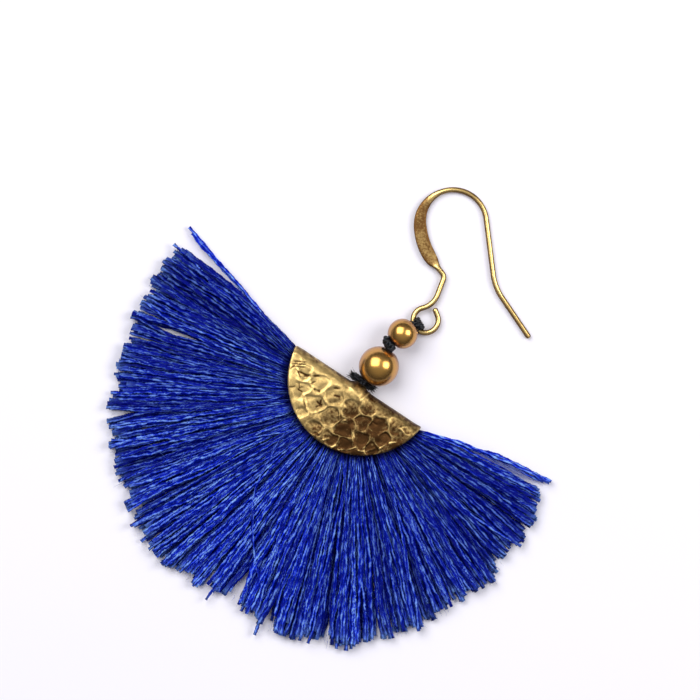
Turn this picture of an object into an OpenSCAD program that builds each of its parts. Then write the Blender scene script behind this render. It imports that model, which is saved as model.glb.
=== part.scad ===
// Tassel earring lying flat on its back: a fan of cut thread in a folded, stamped brass cap,
// two brass beads on a knotted black cord, and a french ear hook of brass wire.
// X runs along the fold of the cap, Y from the fan to the hook, Z up from the surface.
// Millimetres and degrees.

/* [Fan] */
// Length of the fan from the fold of the cap to its rim
fan_r = 36.4; // [28:0.2:50]
// Number of locks in each layer of the fan
lock_count = 40; // [24:1:44]
// Thickness of the fan at its rim
rim_t = 1.7; // [1:0.1:2.6]
// How far a lock may fall short of the rim, as a share of the fan's length
rim_wander = 0.03; // [0:0.005:0.06]
// Width of a stray lock at its tip
stray_w = 0.9; // [0.5:0.1:1.6]

/* [Cap] */
// Radius of the brass disc that is folded into the cap
cap_r = 10.45; // [8:0.05:14]
// Distance of the fold from the middle of the disc
fold_off = 0.95; // [0:0.05:2]
// Thickness of the brass sheet
cap_wall = 0.45; // [0.3:0.05:0.8]
// Thickness of the cap over its fold
fold_t = 3.7; // [3:0.1:5]
// Thickness of the cap over its open edge
mouth_t = 3; // [2.4:0.1:3.6]
// Depth of a stamped cell
cell_depth = 0.13; // [0.05:0.01:0.2]
// Radius of the pucker where the cord leaves the fold
pucker_r = 1.6; // [1.3:0.05:2]
// Height of the cap over the surface
cap_lift = 0.15; // [0:0.05:0.6]

/* [Beads] */
// Diameter of the large bead
large_d = 5.6; // [4:0.1:8]
// Diameter of the small bead
small_d = 4.2; // [3:0.1:6]
// Diameter of the hole through both beads
bore_d = 1.2; // [1.1:0.05:1.6]
// Width of the flat round each hole
collar_w = 0.32; // [0.15:0.01:0.5]
// Open cord between the two beads
bead_gap = 0.73; // [0.4:0.01:1.5]

/* [Cord] */
// Thickness of the cord through the beads
cord_d = 0.9; // [0.6:0.05:1]
// Thickness of the roll of cord tied under the large bead
roll_d = 0.84; // [0.6:0.02:1.1]
// Length of the roll
roll_len = 3.4; // [2:0.1:4.5]
// Thickness of the turns of cord round the ring of the hook
turns_t = 0.38; // [0.25:0.01:0.5]
// Width of the turns along the wire
turns_w = 1.8; // [1.2:0.1:2]

/* [Hook] */
// Diameter of the wire
wire_d = 0.75; // [0.6:0.05:1]
// Radius of the ring at the foot of the hook
ring_r = 1.76; // [1.6:0.02:2.4]
// Angle that the ring goes round
ring_bend = 278; // [250:1:290]
// Straight free end of the ring
ring_end = 1.1; // [0.3:0.1:1.2]
// Radius of the bend where the ring turns into the shank
neck_r = 2.9; // [1.8:0.1:3.5]
// Angle of that bend
neck_bend = 56; // [40:1:60]
// Straight shank between the ring and the kink
shank_len = 2.3; // [1.5:0.1:4]
// Radius of the kink
kink_r = 0.9; // [0.7:0.05:1.5]
// Angle of the kink
kink_bend = 59; // [45:1:65]
// Straight wire over the kink
front_len = 1.7; // [1.2:0.1:3]
// Radius of the front bow that holds the flattened paddle
bow_r = 9.7; // [8:0.1:12]
// Angle of the front bow
bow_bend = 35; // [25:1:40]
// Radius of the top bend that sits in the ear
top_r = 4.65; // [4:0.05:6]
// Angle of the top bend
top_bend = 176; // [165:1:180]
// Straight leg behind the ear
leg_len = 7.8; // [5:0.1:12]
// Radius of the bend in the leg
tail_r = 7.5; // [5:0.1:10]
// Angle of the bend in the leg
tail_bend = 27; // [15:1:35]
// Straight tail that goes through the ear
tail_len = 6.8; // [4:0.1:9]
// Width of the flattened paddle
paddle_w = 1.88; // [1.2:0.02:2.4]

/* [Fit] */
// Gap between pieces that move past each other
fit = 0.1; // [0.06:0.01:0.15]

/* [Hidden] */
$fn = 64;
brass = [0.70, 0.52, 0.20];
gold = [0.80, 0.58, 0.22];
black = [0.06, 0.07, 0.10];
blue = [0.08, 0.20, 0.72];

// Angles of the fan are counted from its middle thread, positive towards +X.
// Reach of the rim: angle, share of the fan's length
RIM = [[-98, 0.78], [-94, 0.86], [-88, 0.895], [-76, 0.90], [-68, 0.905], [-60, 0.93],
    [-56, 0.92], [-52, 0.955], [-44, 0.98], [-36, 1.00], [-28, 1.00], [-16, 1.01],
    [-8, 0.99], [0, 0.965], [8, 0.975], [16, 1.02], [22, 1.00], [28, 1.01], [34, 0.985],
    [44, 0.97], [52, 0.94], [58, 0.915], [68, 0.92], [74, 0.87], [88, 0.85], [97, 0.77]];
// Stray locks: angle at the cap, angle at the tip, share of the fan's length
STRAYS = [[-80, -99.8, 0.893], [80, 97.5, 0.823]];
// Form of a lock: share of the way to its tip, width, height, lift of its underside
FORM = [[0, 1, 1, 0], [0.26, 1.15, 1, 0], [0.8, 1.1, 0.85, 0], [0.94, 0.9, 0.7, 0.05],
    [1, 0.45, 0.35, 0.2]];
// Stamped cells: shares of the disc's radius along X, along Y, and of the cell's radius
CELLS = [[-0.89, -0.17, 0.06], [-0.71, -0.24, 0.10], [-0.47, -0.25, 0.12],
    [-0.63, -0.47, 0.11], [-0.36, -0.52, 0.12], [-0.20, -0.28, 0.12], [-0.10, -0.55, 0.12],
    [0.07, -0.30, 0.11], [0.29, -0.37, 0.10], [0.14, -0.58, 0.11], [0.50, -0.28, 0.11],
    [0.41, -0.57, 0.09], [0.05, -0.09, 0.08], [0.28, -0.15, 0.10], [-0.19, -0.77, 0.09],
    [0.06, -0.79, 0.09], [0.70, -0.18, 0.09], [0.68, -0.40, 0.09], [0.59, -0.60, 0.08],
    [0.28, -0.75, 0.09], [-0.46, -0.71, 0.06], [-0.20, -0.07, 0.07], [0.87, -0.12, 0.05]];
// Paddle: share of its length, share of its width, thickness as a share of the wire
PADDLE = [[0, 0.33, 0.80], [0.06, 0.50, 0.82], [0.14, 0.82, 0.58], [0.23, 1.00, 0.46],
    [0.36, 0.96, 0.46], [0.52, 0.86, 0.48], [0.68, 0.72, 0.56], [0.84, 0.54, 0.72],
    [0.94, 0.42, 0.84], [1, 0.33, 0.80]];

// Cap
wall_mid = cap_lift + fold_t / 2;
fold_r = fold_t / 2;
mouth_y = fold_off - cap_r;
pucker = [0.1, 0.45 - pucker_r, wall_mid + 0.2];

// Head of the fan and the threads that leave the cap
head_t = mouth_t - 2 * cap_wall - 2.4 * fit;
head_back = fold_t / 2 + 0.4;
exit_low = wall_mid - head_t / 2;
exit_high = wall_mid + head_t / 2;
spread = 1.17;
lock_step = 189 / (lock_count - 1);
WANDER = rands(0, 1, 2 * lock_count, 41);
TURN = rands(-0.3, 0.3, 2 * lock_count, 17);

// Cord, beads and the roll of cord under them
cord_start = [0.05, -fold_r + 0.5, pucker.z];
cord_out = [0.2, pucker.y + pucker_r + 0.3, pucker.z + 0.15];
roll_z = wall_mid - 0.58;
roll_y = pucker.y + sqrt(pow(pucker_r + roll_d / 2 + fit, 2) - pow(pucker.z - roll_z, 2));
large_z = large_d / 2;
large_c = [0.78, roll_y + sqrt(pow(large_d / 2 + roll_d / 2 + fit, 2) - pow(large_z - roll_z, 2)),
    large_z];
turns_r = wire_d / 2 + 0.8 * fit + turns_t;
turns_z = turns_r + 0.02;
turns_in = ring_r - sqrt(pow(ring_r - wire_d / 2, 2) - pow(turns_w / 2, 2));
turns_off = (turns_in - wire_d / 2) / 2;
turns_hole = (turns_in + wire_d / 2) / 2 + 0.8 * fit;
perch = 47;
perch_r = small_d / 2 + turns_t + 0.8 * fit + wire_d / 2;
small_z = turns_z + perch_r * sin(perch);
string_turn = 87.4;
bead_run = sqrt(pow((large_d + small_d) / 2 + bead_gap, 2) - pow(small_z - large_z, 2));
small_c = [large_c.x + bead_run * cos(string_turn), large_c.y + bead_run * sin(string_turn), small_z];
large_way = way(string_turn, 6);
small_way = way(77, -6);
stub = 0.1;
cord_sides = 16;
large_half = sqrt(pow(large_d / 2, 2) - pow(bore_d / 2 + collar_w, 2));
small_half = sqrt(pow(small_d / 2, 2) - pow(bore_d / 2 + collar_w, 2));
knot_r = [0.52, 0.34];

// Hook
hang_turn = 64;
ring_c = [small_c.x + (perch_r * cos(perch) + ring_r) * cos(hang_turn),
    small_c.y + (perch_r * cos(perch) + ring_r) * sin(hang_turn)];
ring_open = 54.7;
HOOK = [run(ring_end), bend(ring_r, -ring_bend), bend(neck_r, neck_bend), run(shank_len),
    bend(kink_r, kink_bend), run(front_len), bend(bow_r, -bow_bend), bend(top_r, -top_bend),
    run(leg_len), bend(tail_r, tail_bend), run(tail_len)];
POSES = [for (i = [0:len(HOOK)]) pose(i)];
STARTS = [for (i = [0:len(HOOK)]) start_of(i)];
hook_len = STARTS[len(HOOK)];
kink_end = STARTS[5];
top_start = STARTS[7];
paddle_from = kink_end + 0.9;
paddle_to = top_start + 0.42 * top_r * top_bend * PI / 180;
wire_sides = 12;
sunk_share = 0.94;
tail_at = len(HOOK) - 1;
tail_sink = 0.4;
tip_bevel = 0.12;
STATIONS = [for (i = [0:tail_at - 1], k = [0:steps(i) - 1]) mix(STARTS[i], STARTS[i + 1], k / steps(i)),
    STARTS[tail_at], STARTS[tail_at] + tail_sink];
// The hook leans from the ring, which its cord lifts, down to the line on which it lies
lie_turn = 144;
lie_way = [sin(lie_turn), -cos(lie_turn)];
turns_out = 180 + hang_turn;
ring_side = ring_r * [cos(turns_out), sin(turns_out)];
hook_far = max([for (s = [0:0.25:hook_len]) hook_at(s).x * lie_way.x + hook_at(s).y * lie_way.y]);
hook_near = ring_side.x * lie_way.x + ring_side.y * lie_way.y;
hook_lean = asin((turns_z - wire_d / 2) / (hook_far - hook_near));
ring_z = turns_z + hook_near * sin(hook_lean);

// Middle of the outline, which the frame stands over
tips = concat([for (l = [0:1], i = [0:lock_count - 1 - l]) tip_of(l, i)],
    [for (s = STRAYS) ray(s[1], s[2] * fan_r)]);
hook_top = ring_c.y + max([for (s = [0:0.25:hook_len]) hook_at(s).y]) + wire_d / 2;
mid = [(max([for (t = tips) t.x]) + min([for (t = tips) t.x])) / 2,
    (hook_top + min([for (t = tips) t.y])) / 2];

function way(turn, rise) = [cos(turn) * cos(rise), sin(turn) * cos(rise), sin(rise)];
function ray(a, r) = [r * sin(a), -r * cos(a)];
function mix(a, b, t) = a + (b - a) * t;

// Wire as a row of straight runs and bends: length, signed bend radius
function run(l) = [l, 0];
function bend(r, a) = [r * abs(a) * PI / 180, sign(a) * r];
function hook_start() = [ring_r * cos(ring_open) - ring_end * cos(ring_open - 90),
    ring_r * sin(ring_open) - ring_end * sin(ring_open - 90), ring_open - 90];
function turned(l, r) = l / r * 180 / PI;
function along(p, seg, l) = seg[1] == 0
    ? [p.x + l * cos(p.z), p.y + l * sin(p.z), p.z]
    : [p.x + seg[1] * (sin(p.z + turned(l, seg[1])) - sin(p.z)),
        p.y - seg[1] * (cos(p.z + turned(l, seg[1])) - cos(p.z)), p.z + turned(l, seg[1])];
function pose(i) = i == 0 ? hook_start() : along(pose(i - 1), HOOK[i - 1], HOOK[i - 1][0]);
function start_of(i) = i == 0 ? 0 : start_of(i - 1) + HOOK[i - 1][0];
function part_of(s) = min(len(HOOK), len([for (t = STARTS) if (t <= s) t])) - 1;
function steps(i) = let (seg = HOOK[i])
    ceil(max(seg[0] / 0.8, seg[1] == 0 ? 1 : abs(turned(seg[0], seg[1])) / 12));
function hook_at(s) = along(POSES[part_of(s)], HOOK[part_of(s)], s - STARTS[part_of(s)]);

// Fan: place of a lock's root on the edge of the cap and of its tip on the rim
function lock_angle(l, i) = -94.5 + (i + 0.5 * l + TURN[l * lock_count + i]) * lock_step;
function lock_reach(l, i) = fan_r * (lookup(lock_angle(l, i), RIM)
    - rim_wander * WANDER[l * lock_count + i] - 0.012 * l);
function tip_of(l, i) = ray(lock_angle(l, i), lock_reach(l, i));
function edge_of(a) = let (c = fold_off * cos(a)) ray(a, sqrt(cap_r * cap_r - fold_off * fold_off + c * c) - c);
function root_of(a) = edge_of(a) * (1 - 0.25 / norm(edge_of(a)));

// Under and upper side of the fan, by the share of the way from the cap to the tip
function under(u) = exit_low * max(0, 1 - u / 0.26);
function over(u) = u < 0.26 ? mix(exit_high, exit_high - 0.12, u / 0.26)
    : mix(exit_high - 0.12, rim_t, pow((u - 0.26) / 0.74, 1.25));

// Six corners of a lock at one row of its form
function lock_ring(row, root, tip, w0, w1, low, high) = let (
    d = (tip - root) / norm(tip - root),
    c = root + (tip - root) * row[0],
    w = mix(w0, w1, row[0]) * row[1] / 2,
    t = over(row[0]) - under(row[0]),
    a = under(row[0]) + t * low + t * row[3],
    h = t * (high - low) * row[2],
    corners = [[-1, 0.5], [-0.55, 1], [0.55, 1], [1, 0.5], [0.55, 0], [-0.55, 0]],
    points = [for (k = corners) [c.x - d.y * w * k.x, c.y + d.x * w * k.x, a + h * k.y]])
    row[0] > 0 ? points : [for (p = points) squeezed(p)];

// Half height of the hollow of the cap at a distance from its fold
function hollow_at(y) = y < -fold_r ? head_t / 2
    : min(head_t / 2, sqrt(max(0.01, pow(fold_r - cap_wall - fit, 2) - pow(y + fold_r, 2))));
function squeezed(p) = [p.x, p.y,
    wall_mid + max(-hollow_at(p.y), min(hollow_at(p.y), p.z - wall_mid))];

module hull_of(points) {
    hull()
    polyhedron(points = points, faces = [[for (i = [0:len(points) - 1]) i]]);
}

module lock(root_a, tip, w0, w1, low, high) {
    root = root_of(root_a);
    hull_of([for (row = FORM) each lock_ring(row, root, tip, w0, w1, low, high)]);
}

// Places a piece that is modelled from the middle of the fold
module placed() {
    translate([-mid.x, -mid.y, 0])
    children();
}

module in_hook_plane() {
    translate([ring_c.x, ring_c.y, ring_z])
    rotate(a = hook_lean, v = [cos(lie_turn), sin(lie_turn), 0])
    children();
}

module rod(a, b, d) {
    l = norm(b - a);
    translate(a)
    rotate([0, acos((b - a).z / l), atan2((b - a).y, (b - a).x)])
    cylinder(h = l, d = d);
}

// Section of the wire at a length along it: half width in the plane of the hook, half thickness
function paddle_share(s) = (s - paddle_from) / (paddle_to - paddle_from);
function half_sizes(s) = let (u = paddle_share(s))
    u < 0 || u > 1 ? [wire_d / 2, wire_d / 2] : [
        max(wire_d, paddle_w * lookup(u, [for (r = PADDLE) [r[0], r[1]]])) / 2,
        wire_d * lookup(u, [for (r = PADDLE) [r[0], r[2]]]) / 2];
function wire_ring(s) = let (p = hook_at(s), h = half_sizes(s) * (s < STARTS[tail_at] ? 1 : sunk_share))
    [for (k = [0:wire_sides - 1]) let (a = 360 * k / wire_sides)
        [p.x - h[0] * cos(a) * sin(p.z), p.y + h[0] * cos(a) * cos(p.z), h[1] * sin(a)]];

// Solid through a row of rings that all have the same number of corners
module lofted(rings) {
    sides = len(rings[0]);
    sheath = [for (j = [0:len(rings) - 2], k = [0:sides - 1]) let (n = (k + 1) % sides)
        [j * sides + k, (j + 1) * sides + k, (j + 1) * sides + n, j * sides + n]];
    last = (len(rings) - 1) * sides;
    ends = [[for (k = [sides - 1:-1:0]) last + k], [for (k = [0:sides - 1]) k]];
    polyhedron(points = [for (r = rings) each r], faces = concat(sheath, ends), convexity = 8);
}

// Bent and flattened wire from the ring of the hook up to its tail
module bent_wire() {
    lofted([for (s = STATIONS) wire_ring(s)]);
}

// Straight tail with a bevelled tip, which goes through the ear
module tail() {
    p = POSES[tail_at];
    r = wire_d / 2;
    translate([p.x, p.y, 0])
    rotate([0, 90, p.z])
    rotate_extrude()
    polygon([[0, 0], [r, 0], [r, tail_len - tip_bevel], [r - tip_bevel, tail_len], [0, tail_len]]);
}

module ear_hook() {
    color(gold)
    placed()
    in_hook_plane() {
        bent_wire();
        tail();
    }
}

// A bead with flats round its hole
module bead(c, d, half, dir) {
    translate(c)
    rotate([0, acos(dir.z), atan2(dir.y, dir.x)])
    difference() {
        intersection() {
            sphere(d = d);
            translate([0, 0, -half])
            cylinder(h = 2 * half, d = d + 1);
        }
        translate([0, 0, -half - 1])
        cylinder(h = 2 * half + 2, d = bore_d);
    }
}

module large_bead() {
    color(gold)
    placed()
    bead(large_c, large_d, large_half, large_way);
}

module small_bead() {
    color(gold)
    placed()
    bead(small_c, small_d, small_half, small_way);
}

// Turns of cord round the ring of the hook, clear of its curved wire and of the small bead
module ring_turns(peak) {
    difference() {
        in_hook_plane()
        rotate([0, 0, turns_out])
        translate([0, turns_w / 2, 0])
        rotate([90, 0, 0])
        linear_extrude(height = turns_w)
        difference() {
            hull() {
                translate([ring_r - turns_off, 0])
                circle(r = turns_r);
                translate([peak.x, peak.y])
                circle(d = cord_d);
            }
            translate([ring_r - turns_off, 0])
            circle(r = turns_hole);
        }
        translate(small_c)
        sphere(d = small_d + 2 * fit);
    }
}

// Section of the cord at one stop of its route, square to the mean of the runs on both sides
function unit(v) = v / norm(v);
function cord_way(stops, i) = unit((i > 0 ? unit(stops[i] - stops[i - 1]) : [0, 0, 0])
    + (i < len(stops) - 1 ? unit(stops[i + 1] - stops[i]) : [0, 0, 0]));
function cord_ring(p, t) = let (side = unit([-t.y, t.x, 0]), up = cross(t, side))
    [for (k = [0:cord_sides - 1]) let (a = 360 * k / cord_sides)
        p + cord_d / 2 * (cos(a) * side + sin(a) * up)];

module bead_cord() {
    large_in = large_c - (large_half + stub) * large_way;
    large_out = large_c + (large_half + stub) * large_way;
    small_in = small_c - (small_half + stub) * small_way;
    small_out = small_c + (small_half + stub) * small_way;
    peak = [ring_r - 0.66, small_out.z - turns_z - 0.15];
    peak_at = ring_c + peak.x * [cos(turns_out), sin(turns_out)];
    route = [cord_start, cord_out, large_in, large_out, small_in, small_out,
        [peak_at.x, peak_at.y, turns_z + peak.y]];
    knot_at = (large_out + small_in) / 2;
    color(black)
    placed() {
        lofted([for (i = [0:len(route) - 1]) cord_ring(route[i], cord_way(route, i))]);
        hull() {
            translate(knot_at + [-1.15, 0.2, -0.1])
            sphere(r = knot_r[0], $fn = 16);
            translate(knot_at + [0, -0.02, 0.62])
            sphere(r = knot_r[1], $fn = 16);
        }
        ring_turns(peak);
    }
}

module binding_knot() {
    color(black)
    placed()
    translate([0.03 - roll_len / 2, roll_y, roll_z])
    rotate([0, 90, 0])
    cylinder(h = roll_len, d = roll_d);
}

// Folded sheet seen along the fold: a round back and two sides that close towards the mouth
module fold_profile(r, mouth, reach) {
    translate([-fold_r, 0])
    circle(r = r);
    polygon([[-fold_r, r], [mouth_y - reach, mouth / 2 - reach * (fold_t - mouth_t) / 2 / -mouth_y],
        [mouth_y - reach, -mouth / 2 + reach * (fold_t - mouth_t) / 2 / -mouth_y], [-fold_r, -r]]);
}

module folded(r, mouth, reach) {
    translate([-cap_r - 1, 0, wall_mid])
    rotate([90, 0, 90])
    linear_extrude(height = 2 * cap_r + 2)
    fold_profile(r, mouth, reach);
}

// Stamped cells, sunk square to the slanting face on one side of the cap
module cells(side) {
    slant = atan((fold_t - mouth_t) / 2 / (-mouth_y - fold_r));
    translate([0, 0, wall_mid])
    rotate([0, side > 0 ? 0 : 180, 0])
    translate([0, -fold_r, fold_r])
    rotate([slant, 0, 0])
    translate([0, 0, -cell_depth])
    for (c = CELLS)
        translate([c[0] * cap_r, c[1] * cap_r + fold_r])
        cylinder(h = 1, r = c[2] * cap_r);
}

module cap() {
    color(brass)
    placed()
    difference() {
        union() {
            intersection() {
                folded(fold_r, mouth_t, 0);
                translate([0, fold_off, cap_lift - 1])
                cylinder(h = fold_t + 2, r = cap_r);
            }
            translate(pucker)
            sphere(r = pucker_r);
        }
        folded(fold_r - cap_wall, mouth_t - 2 * cap_wall, 1);
        translate(pucker)
        sphere(r = pucker_r - cap_wall);
        rod(cord_start, cord_out, cord_d + 2 * fit);
        cells(1);
        cells(-1);
    }
}

// Head of the fan inside the cap, where the threads are bound
module head() {
    translate([0, 0, wall_mid])
    intersection() {
        translate([0, fold_off, -head_t / 2])
        cylinder(h = head_t, r = cap_r + 0.2, $fn = 72);
        translate([-cap_r, mouth_y - 1, -head_t / 2])
        cube([2 * cap_r, -mouth_y + 1 - head_back, head_t]);
    }
}

module fan_tassel() {
    color(blue)
    placed() {
        head();
        for (l = [0:1], i = [0:lock_count - 1 - l]) {
            a = lock_angle(l, i);
            w = 1.35 * fan_r * lock_step * PI / 180;
            lock(a / spread, tip_of(l, i), w * 0.29, w, l == 0 ? 0 : 0.36, l == 0 ? 0.6 : 1);
        }
        for (s = STRAYS) lock(s[0], ray(s[1], s[2] * fan_r), stray_w, stray_w, 0, 0.45);
    }
}

ear_hook();
small_bead();
large_bead();
bead_cord();
binding_knot();
cap();
fan_tassel();
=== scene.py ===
"""Dresses the tassel earring: twisted thread, stamped brass cap, beads, knotted cord and ear hook."""

import logging
import math
from dataclasses import dataclass
from enum import Enum
from typing import NamedTuple

import bpy
import numpy as np
from mathutils import Matrix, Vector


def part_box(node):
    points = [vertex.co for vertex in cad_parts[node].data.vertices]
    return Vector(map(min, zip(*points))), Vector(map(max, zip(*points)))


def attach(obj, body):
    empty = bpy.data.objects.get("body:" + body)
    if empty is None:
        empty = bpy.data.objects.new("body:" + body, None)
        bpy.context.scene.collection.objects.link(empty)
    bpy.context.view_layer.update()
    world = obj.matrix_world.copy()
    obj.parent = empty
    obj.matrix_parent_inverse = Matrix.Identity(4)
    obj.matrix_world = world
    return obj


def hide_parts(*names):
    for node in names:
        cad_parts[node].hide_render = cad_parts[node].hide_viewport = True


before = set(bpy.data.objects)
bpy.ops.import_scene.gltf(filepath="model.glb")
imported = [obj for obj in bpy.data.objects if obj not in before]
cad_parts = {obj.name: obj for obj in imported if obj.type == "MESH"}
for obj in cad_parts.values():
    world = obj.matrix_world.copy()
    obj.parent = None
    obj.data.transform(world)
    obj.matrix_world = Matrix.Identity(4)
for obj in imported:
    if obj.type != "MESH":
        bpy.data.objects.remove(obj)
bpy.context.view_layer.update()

LOG = logging.getLogger("tassel_earring")
MM = 0.001
TURN = 2 * math.pi
BODY = "root"
Color = tuple[float, float, float, float]

# Sizes that several parts share, in millimetres.
DISC_RADIUS = 10.45
FOLD_OFF = 0.95
RING_RADIUS = 1.76
RING = np.array([3.6197, 14.8950, 0.7986])


class Slot(Enum):
    """The record's material slots."""

    HOOK = "hook_brass"
    BEAD = "bead_brass"
    CAP = "cap_brass"
    CORD = "black_cord"
    THREAD = "blue_thread"


def node_box(node: str) -> tuple[np.ndarray, np.ndarray]:
    """Lowest and highest corner of a solid.

    Args:
        node: Name of the solid.

    Returns:
        The two corners in millimetres.
    """
    low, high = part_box(node)
    return np.array(low) / MM, np.array(high) / MM


def unit(vectors: np.ndarray) -> np.ndarray:
    """Vectors of length one along the last axis."""
    return vectors / np.maximum(np.linalg.norm(vectors, axis=-1, keepdims=True), 1e-12)


def smooth(low: float, high: float, x: np.ndarray) -> np.ndarray:
    """Smooth step of x from 0 at low to 1 at high."""
    t = np.clip((np.asarray(x, float) - low) / (high - low), 0, 1)
    return t * t * (3 - 2 * t)


def ray(angle: np.ndarray, radius: np.ndarray) -> np.ndarray:
    """Points at an angle from -Y, positive towards +X, and a radius.

    Args:
        angle: Angles in degrees.
        radius: Radii in millimetres.

    Returns:
        Array of X and Y in the last axis.
    """
    turn = np.radians(angle)
    return np.stack([radius * np.sin(turn), -radius * np.cos(turn)], axis=-1)


def crosswise(way: np.ndarray) -> np.ndarray:
    """Directions in the plane, turned a quarter to the left."""
    return np.stack([-way[..., 1], way[..., 0]], axis=-1)


def lengths_along(lines: np.ndarray) -> np.ndarray:
    """Length from the start of each line to each of its points."""
    steps = np.linalg.norm(np.diff(lines, axis=1), axis=-1)
    return np.concatenate([np.zeros((len(lines), 1)), np.cumsum(steps, axis=1)], axis=1)


def ripple(points: np.ndarray, wavelength: float, seed: int, waves: int = 14) -> np.ndarray:
    """Smooth random height field over points of the plane, about -1 to 1.

    Args:
        points: Array whose last axis holds X and Y in millimetres.
        wavelength: Mean size of a swell in millimetres.
        seed: Seed of the waves.
        waves: How many waves are added up.

    Returns:
        One height for each point.
    """
    rng = np.random.default_rng(seed)
    total = np.zeros(points.shape[:-1])
    for _ in range(waves):
        turn, phase = rng.uniform(0, TURN, 2)
        pitch = TURN / (wavelength * rng.uniform(0.7, 1.5))
        along = points[..., 0] * math.cos(turn) + points[..., 1] * math.sin(turn)
        total += np.cos(pitch * along + phase)
    return total / math.sqrt(waves / 2) * 0.7


class Strands(NamedTuple):
    """A bundle of round or oval strands, all with the same number of stations.

    Attributes:
        centres: Middle of each strand at each station.
        half_wide: Half width of each strand at each station.
        half_thick: Half thickness at each station.
        turn: Turn of the oval section at each station, in radians.
        tone: Lightness of each strand; for the fan's threads it also holds painted shade and painted light.
        tip: How far each station is bleached at a cut end, or darkened by painted shade where it is
            negative.
    """

    centres: np.ndarray
    half_wide: np.ndarray
    half_thick: np.ndarray
    turn: np.ndarray
    tone: np.ndarray
    tip: np.ndarray

    def some(self, rows: np.ndarray | slice) -> "Strands":
        """The strands of the given rows."""
        return Strands(*(values[rows] for values in self))


def strand_frames(centres: np.ndarray) -> tuple[np.ndarray, np.ndarray]:
    """Two directions square to each strand, carried along it without twist.

    Args:
        centres: Array of strands, stations and coordinates.

    Returns:
        The sideways and the upward direction at each station.
    """
    tangent = unit(np.gradient(centres, axis=1))
    first = np.where(np.abs(tangent[:, :1, 2:]) > 0.9, [[[1.0, 0, 0]]], [[[0, 0, 1.0]]])
    side = np.empty_like(centres)
    side[:, 0] = unit(np.cross(tangent[:, 0], first[:, 0]))
    for k in range(1, centres.shape[1]):
        last = side[:, k - 1]
        side[:, k] = unit(last - tangent[:, k] * np.sum(last * tangent[:, k], axis=-1, keepdims=True))
    return side, np.cross(side, tangent)


def grid_faces(rows: int, columns: int, rows_meet: bool = False, columns_meet: bool = True) -> np.ndarray:
    """Quads over a grid of vertices that are numbered row by row.

    Args:
        rows: Rows of vertices.
        columns: Vertices in a row.
        rows_meet: Whether the last row joins the first.
        columns_meet: Whether the last vertex of a row joins its first.

    Returns:
        Four vertex numbers for each quad.
    """
    row, column = np.meshgrid(np.arange(rows - (not rows_meet)), np.arange(columns - (not columns_meet)),
                              indexing="ij")
    after, beside = (row + 1) % rows, (column + 1) % columns
    corners = ((row, column), (after, column), (after, beside), (row, beside))
    return np.stack([r * columns + c for r, c in corners], axis=-1).reshape(-1, 4)


def add_floats(mesh: bpy.types.Mesh, name: str, values: np.ndarray) -> None:
    """Writes one number for each vertex into a named attribute."""
    data = mesh.attributes.new(name, "FLOAT", "POINT").data
    data.foreach_set("value", values.ravel().astype(np.float32))


def linked(name: str, data: bpy.types.ID) -> bpy.types.Object:
    """Puts a new object with its mesh, light or camera into the scene.

    Args:
        name: Name of the object.
        data: Its mesh, light or camera.

    Returns:
        The object.
    """
    placed = bpy.data.objects.new(name, data)
    bpy.context.scene.collection.objects.link(placed)
    return placed


def new_piece(name: str, points: np.ndarray, faces: list,
              material: bpy.types.Material) -> bpy.types.Object:
    """A smooth mesh that rides on the earring.

    Args:
        name: Name of the piece.
        points: Vertices in millimetres.
        faces: Lists of vertex numbers.
        material: Its material.

    Returns:
        The new object.
    """
    mesh = bpy.data.meshes.new(name)
    mesh.from_pydata((points * MM).tolist(), [], faces)
    mesh.shade_smooth()
    mesh.update()
    mesh.materials.append(material)
    piece = linked(name, mesh)
    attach(piece, BODY)
    return piece


def strand_piece(name: str, strands: Strands, sides: int, material: bpy.types.Material,
                 closed: bool = False) -> bpy.types.Object:
    """One mesh of all the strands, with the attributes that their material reads.

    Args:
        name: Name of the piece.
        strands: The strands.
        sides: Corners of a strand's section.
        material: Material of the strands.
        closed: Whether each strand is a ring that meets its own start.

    Returns:
        The new object.
    """
    count, stations = strands.centres.shape[:2]
    side, up = strand_frames(strands.centres)
    around = np.arange(sides) * TURN / sides
    turn = strands.turn[..., None]
    wide = np.cos(turn) * side + np.sin(turn) * up
    thick = -np.sin(turn) * side + np.cos(turn) * up
    ring = (strands.half_wide[..., None] * np.cos(around))[..., None] * wide[:, :, None]
    ring = ring + (strands.half_thick[..., None] * np.sin(around))[..., None] * thick[:, :, None]
    points = (strands.centres[:, :, None] + ring).reshape(-1, 3)
    first = np.arange(count)[:, None, None] * stations * sides
    faces = (first + grid_faces(stations, sides, closed)).reshape(-1, 4).tolist()
    if not closed:
        start = first[:, 0] + np.arange(sides)
        faces += start.tolist() + (start[:, ::-1] + (stations - 1) * sides).tolist()
    piece = new_piece(name, points, faces, material)

    pattern_shift = 37.0 * np.arange(count)[:, None, None]
    lay = np.empty((count, stations, sides, 3))
    lay[..., 0] = np.cos(around)
    lay[..., 1] = np.sin(around)
    lay[..., 2] = lengths_along(strands.centres)[..., None] + pattern_shift
    data = piece.data.attributes.new("strand", "FLOAT_VECTOR", "POINT").data
    data.foreach_set("vector", lay.ravel().astype(np.float32))
    add_floats(piece.data, "tone", np.repeat(strands.tone[:, None], stations * sides, axis=1))
    add_floats(piece.data, "tip", np.repeat(strands.tip.ravel(), sides))
    return piece


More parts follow.
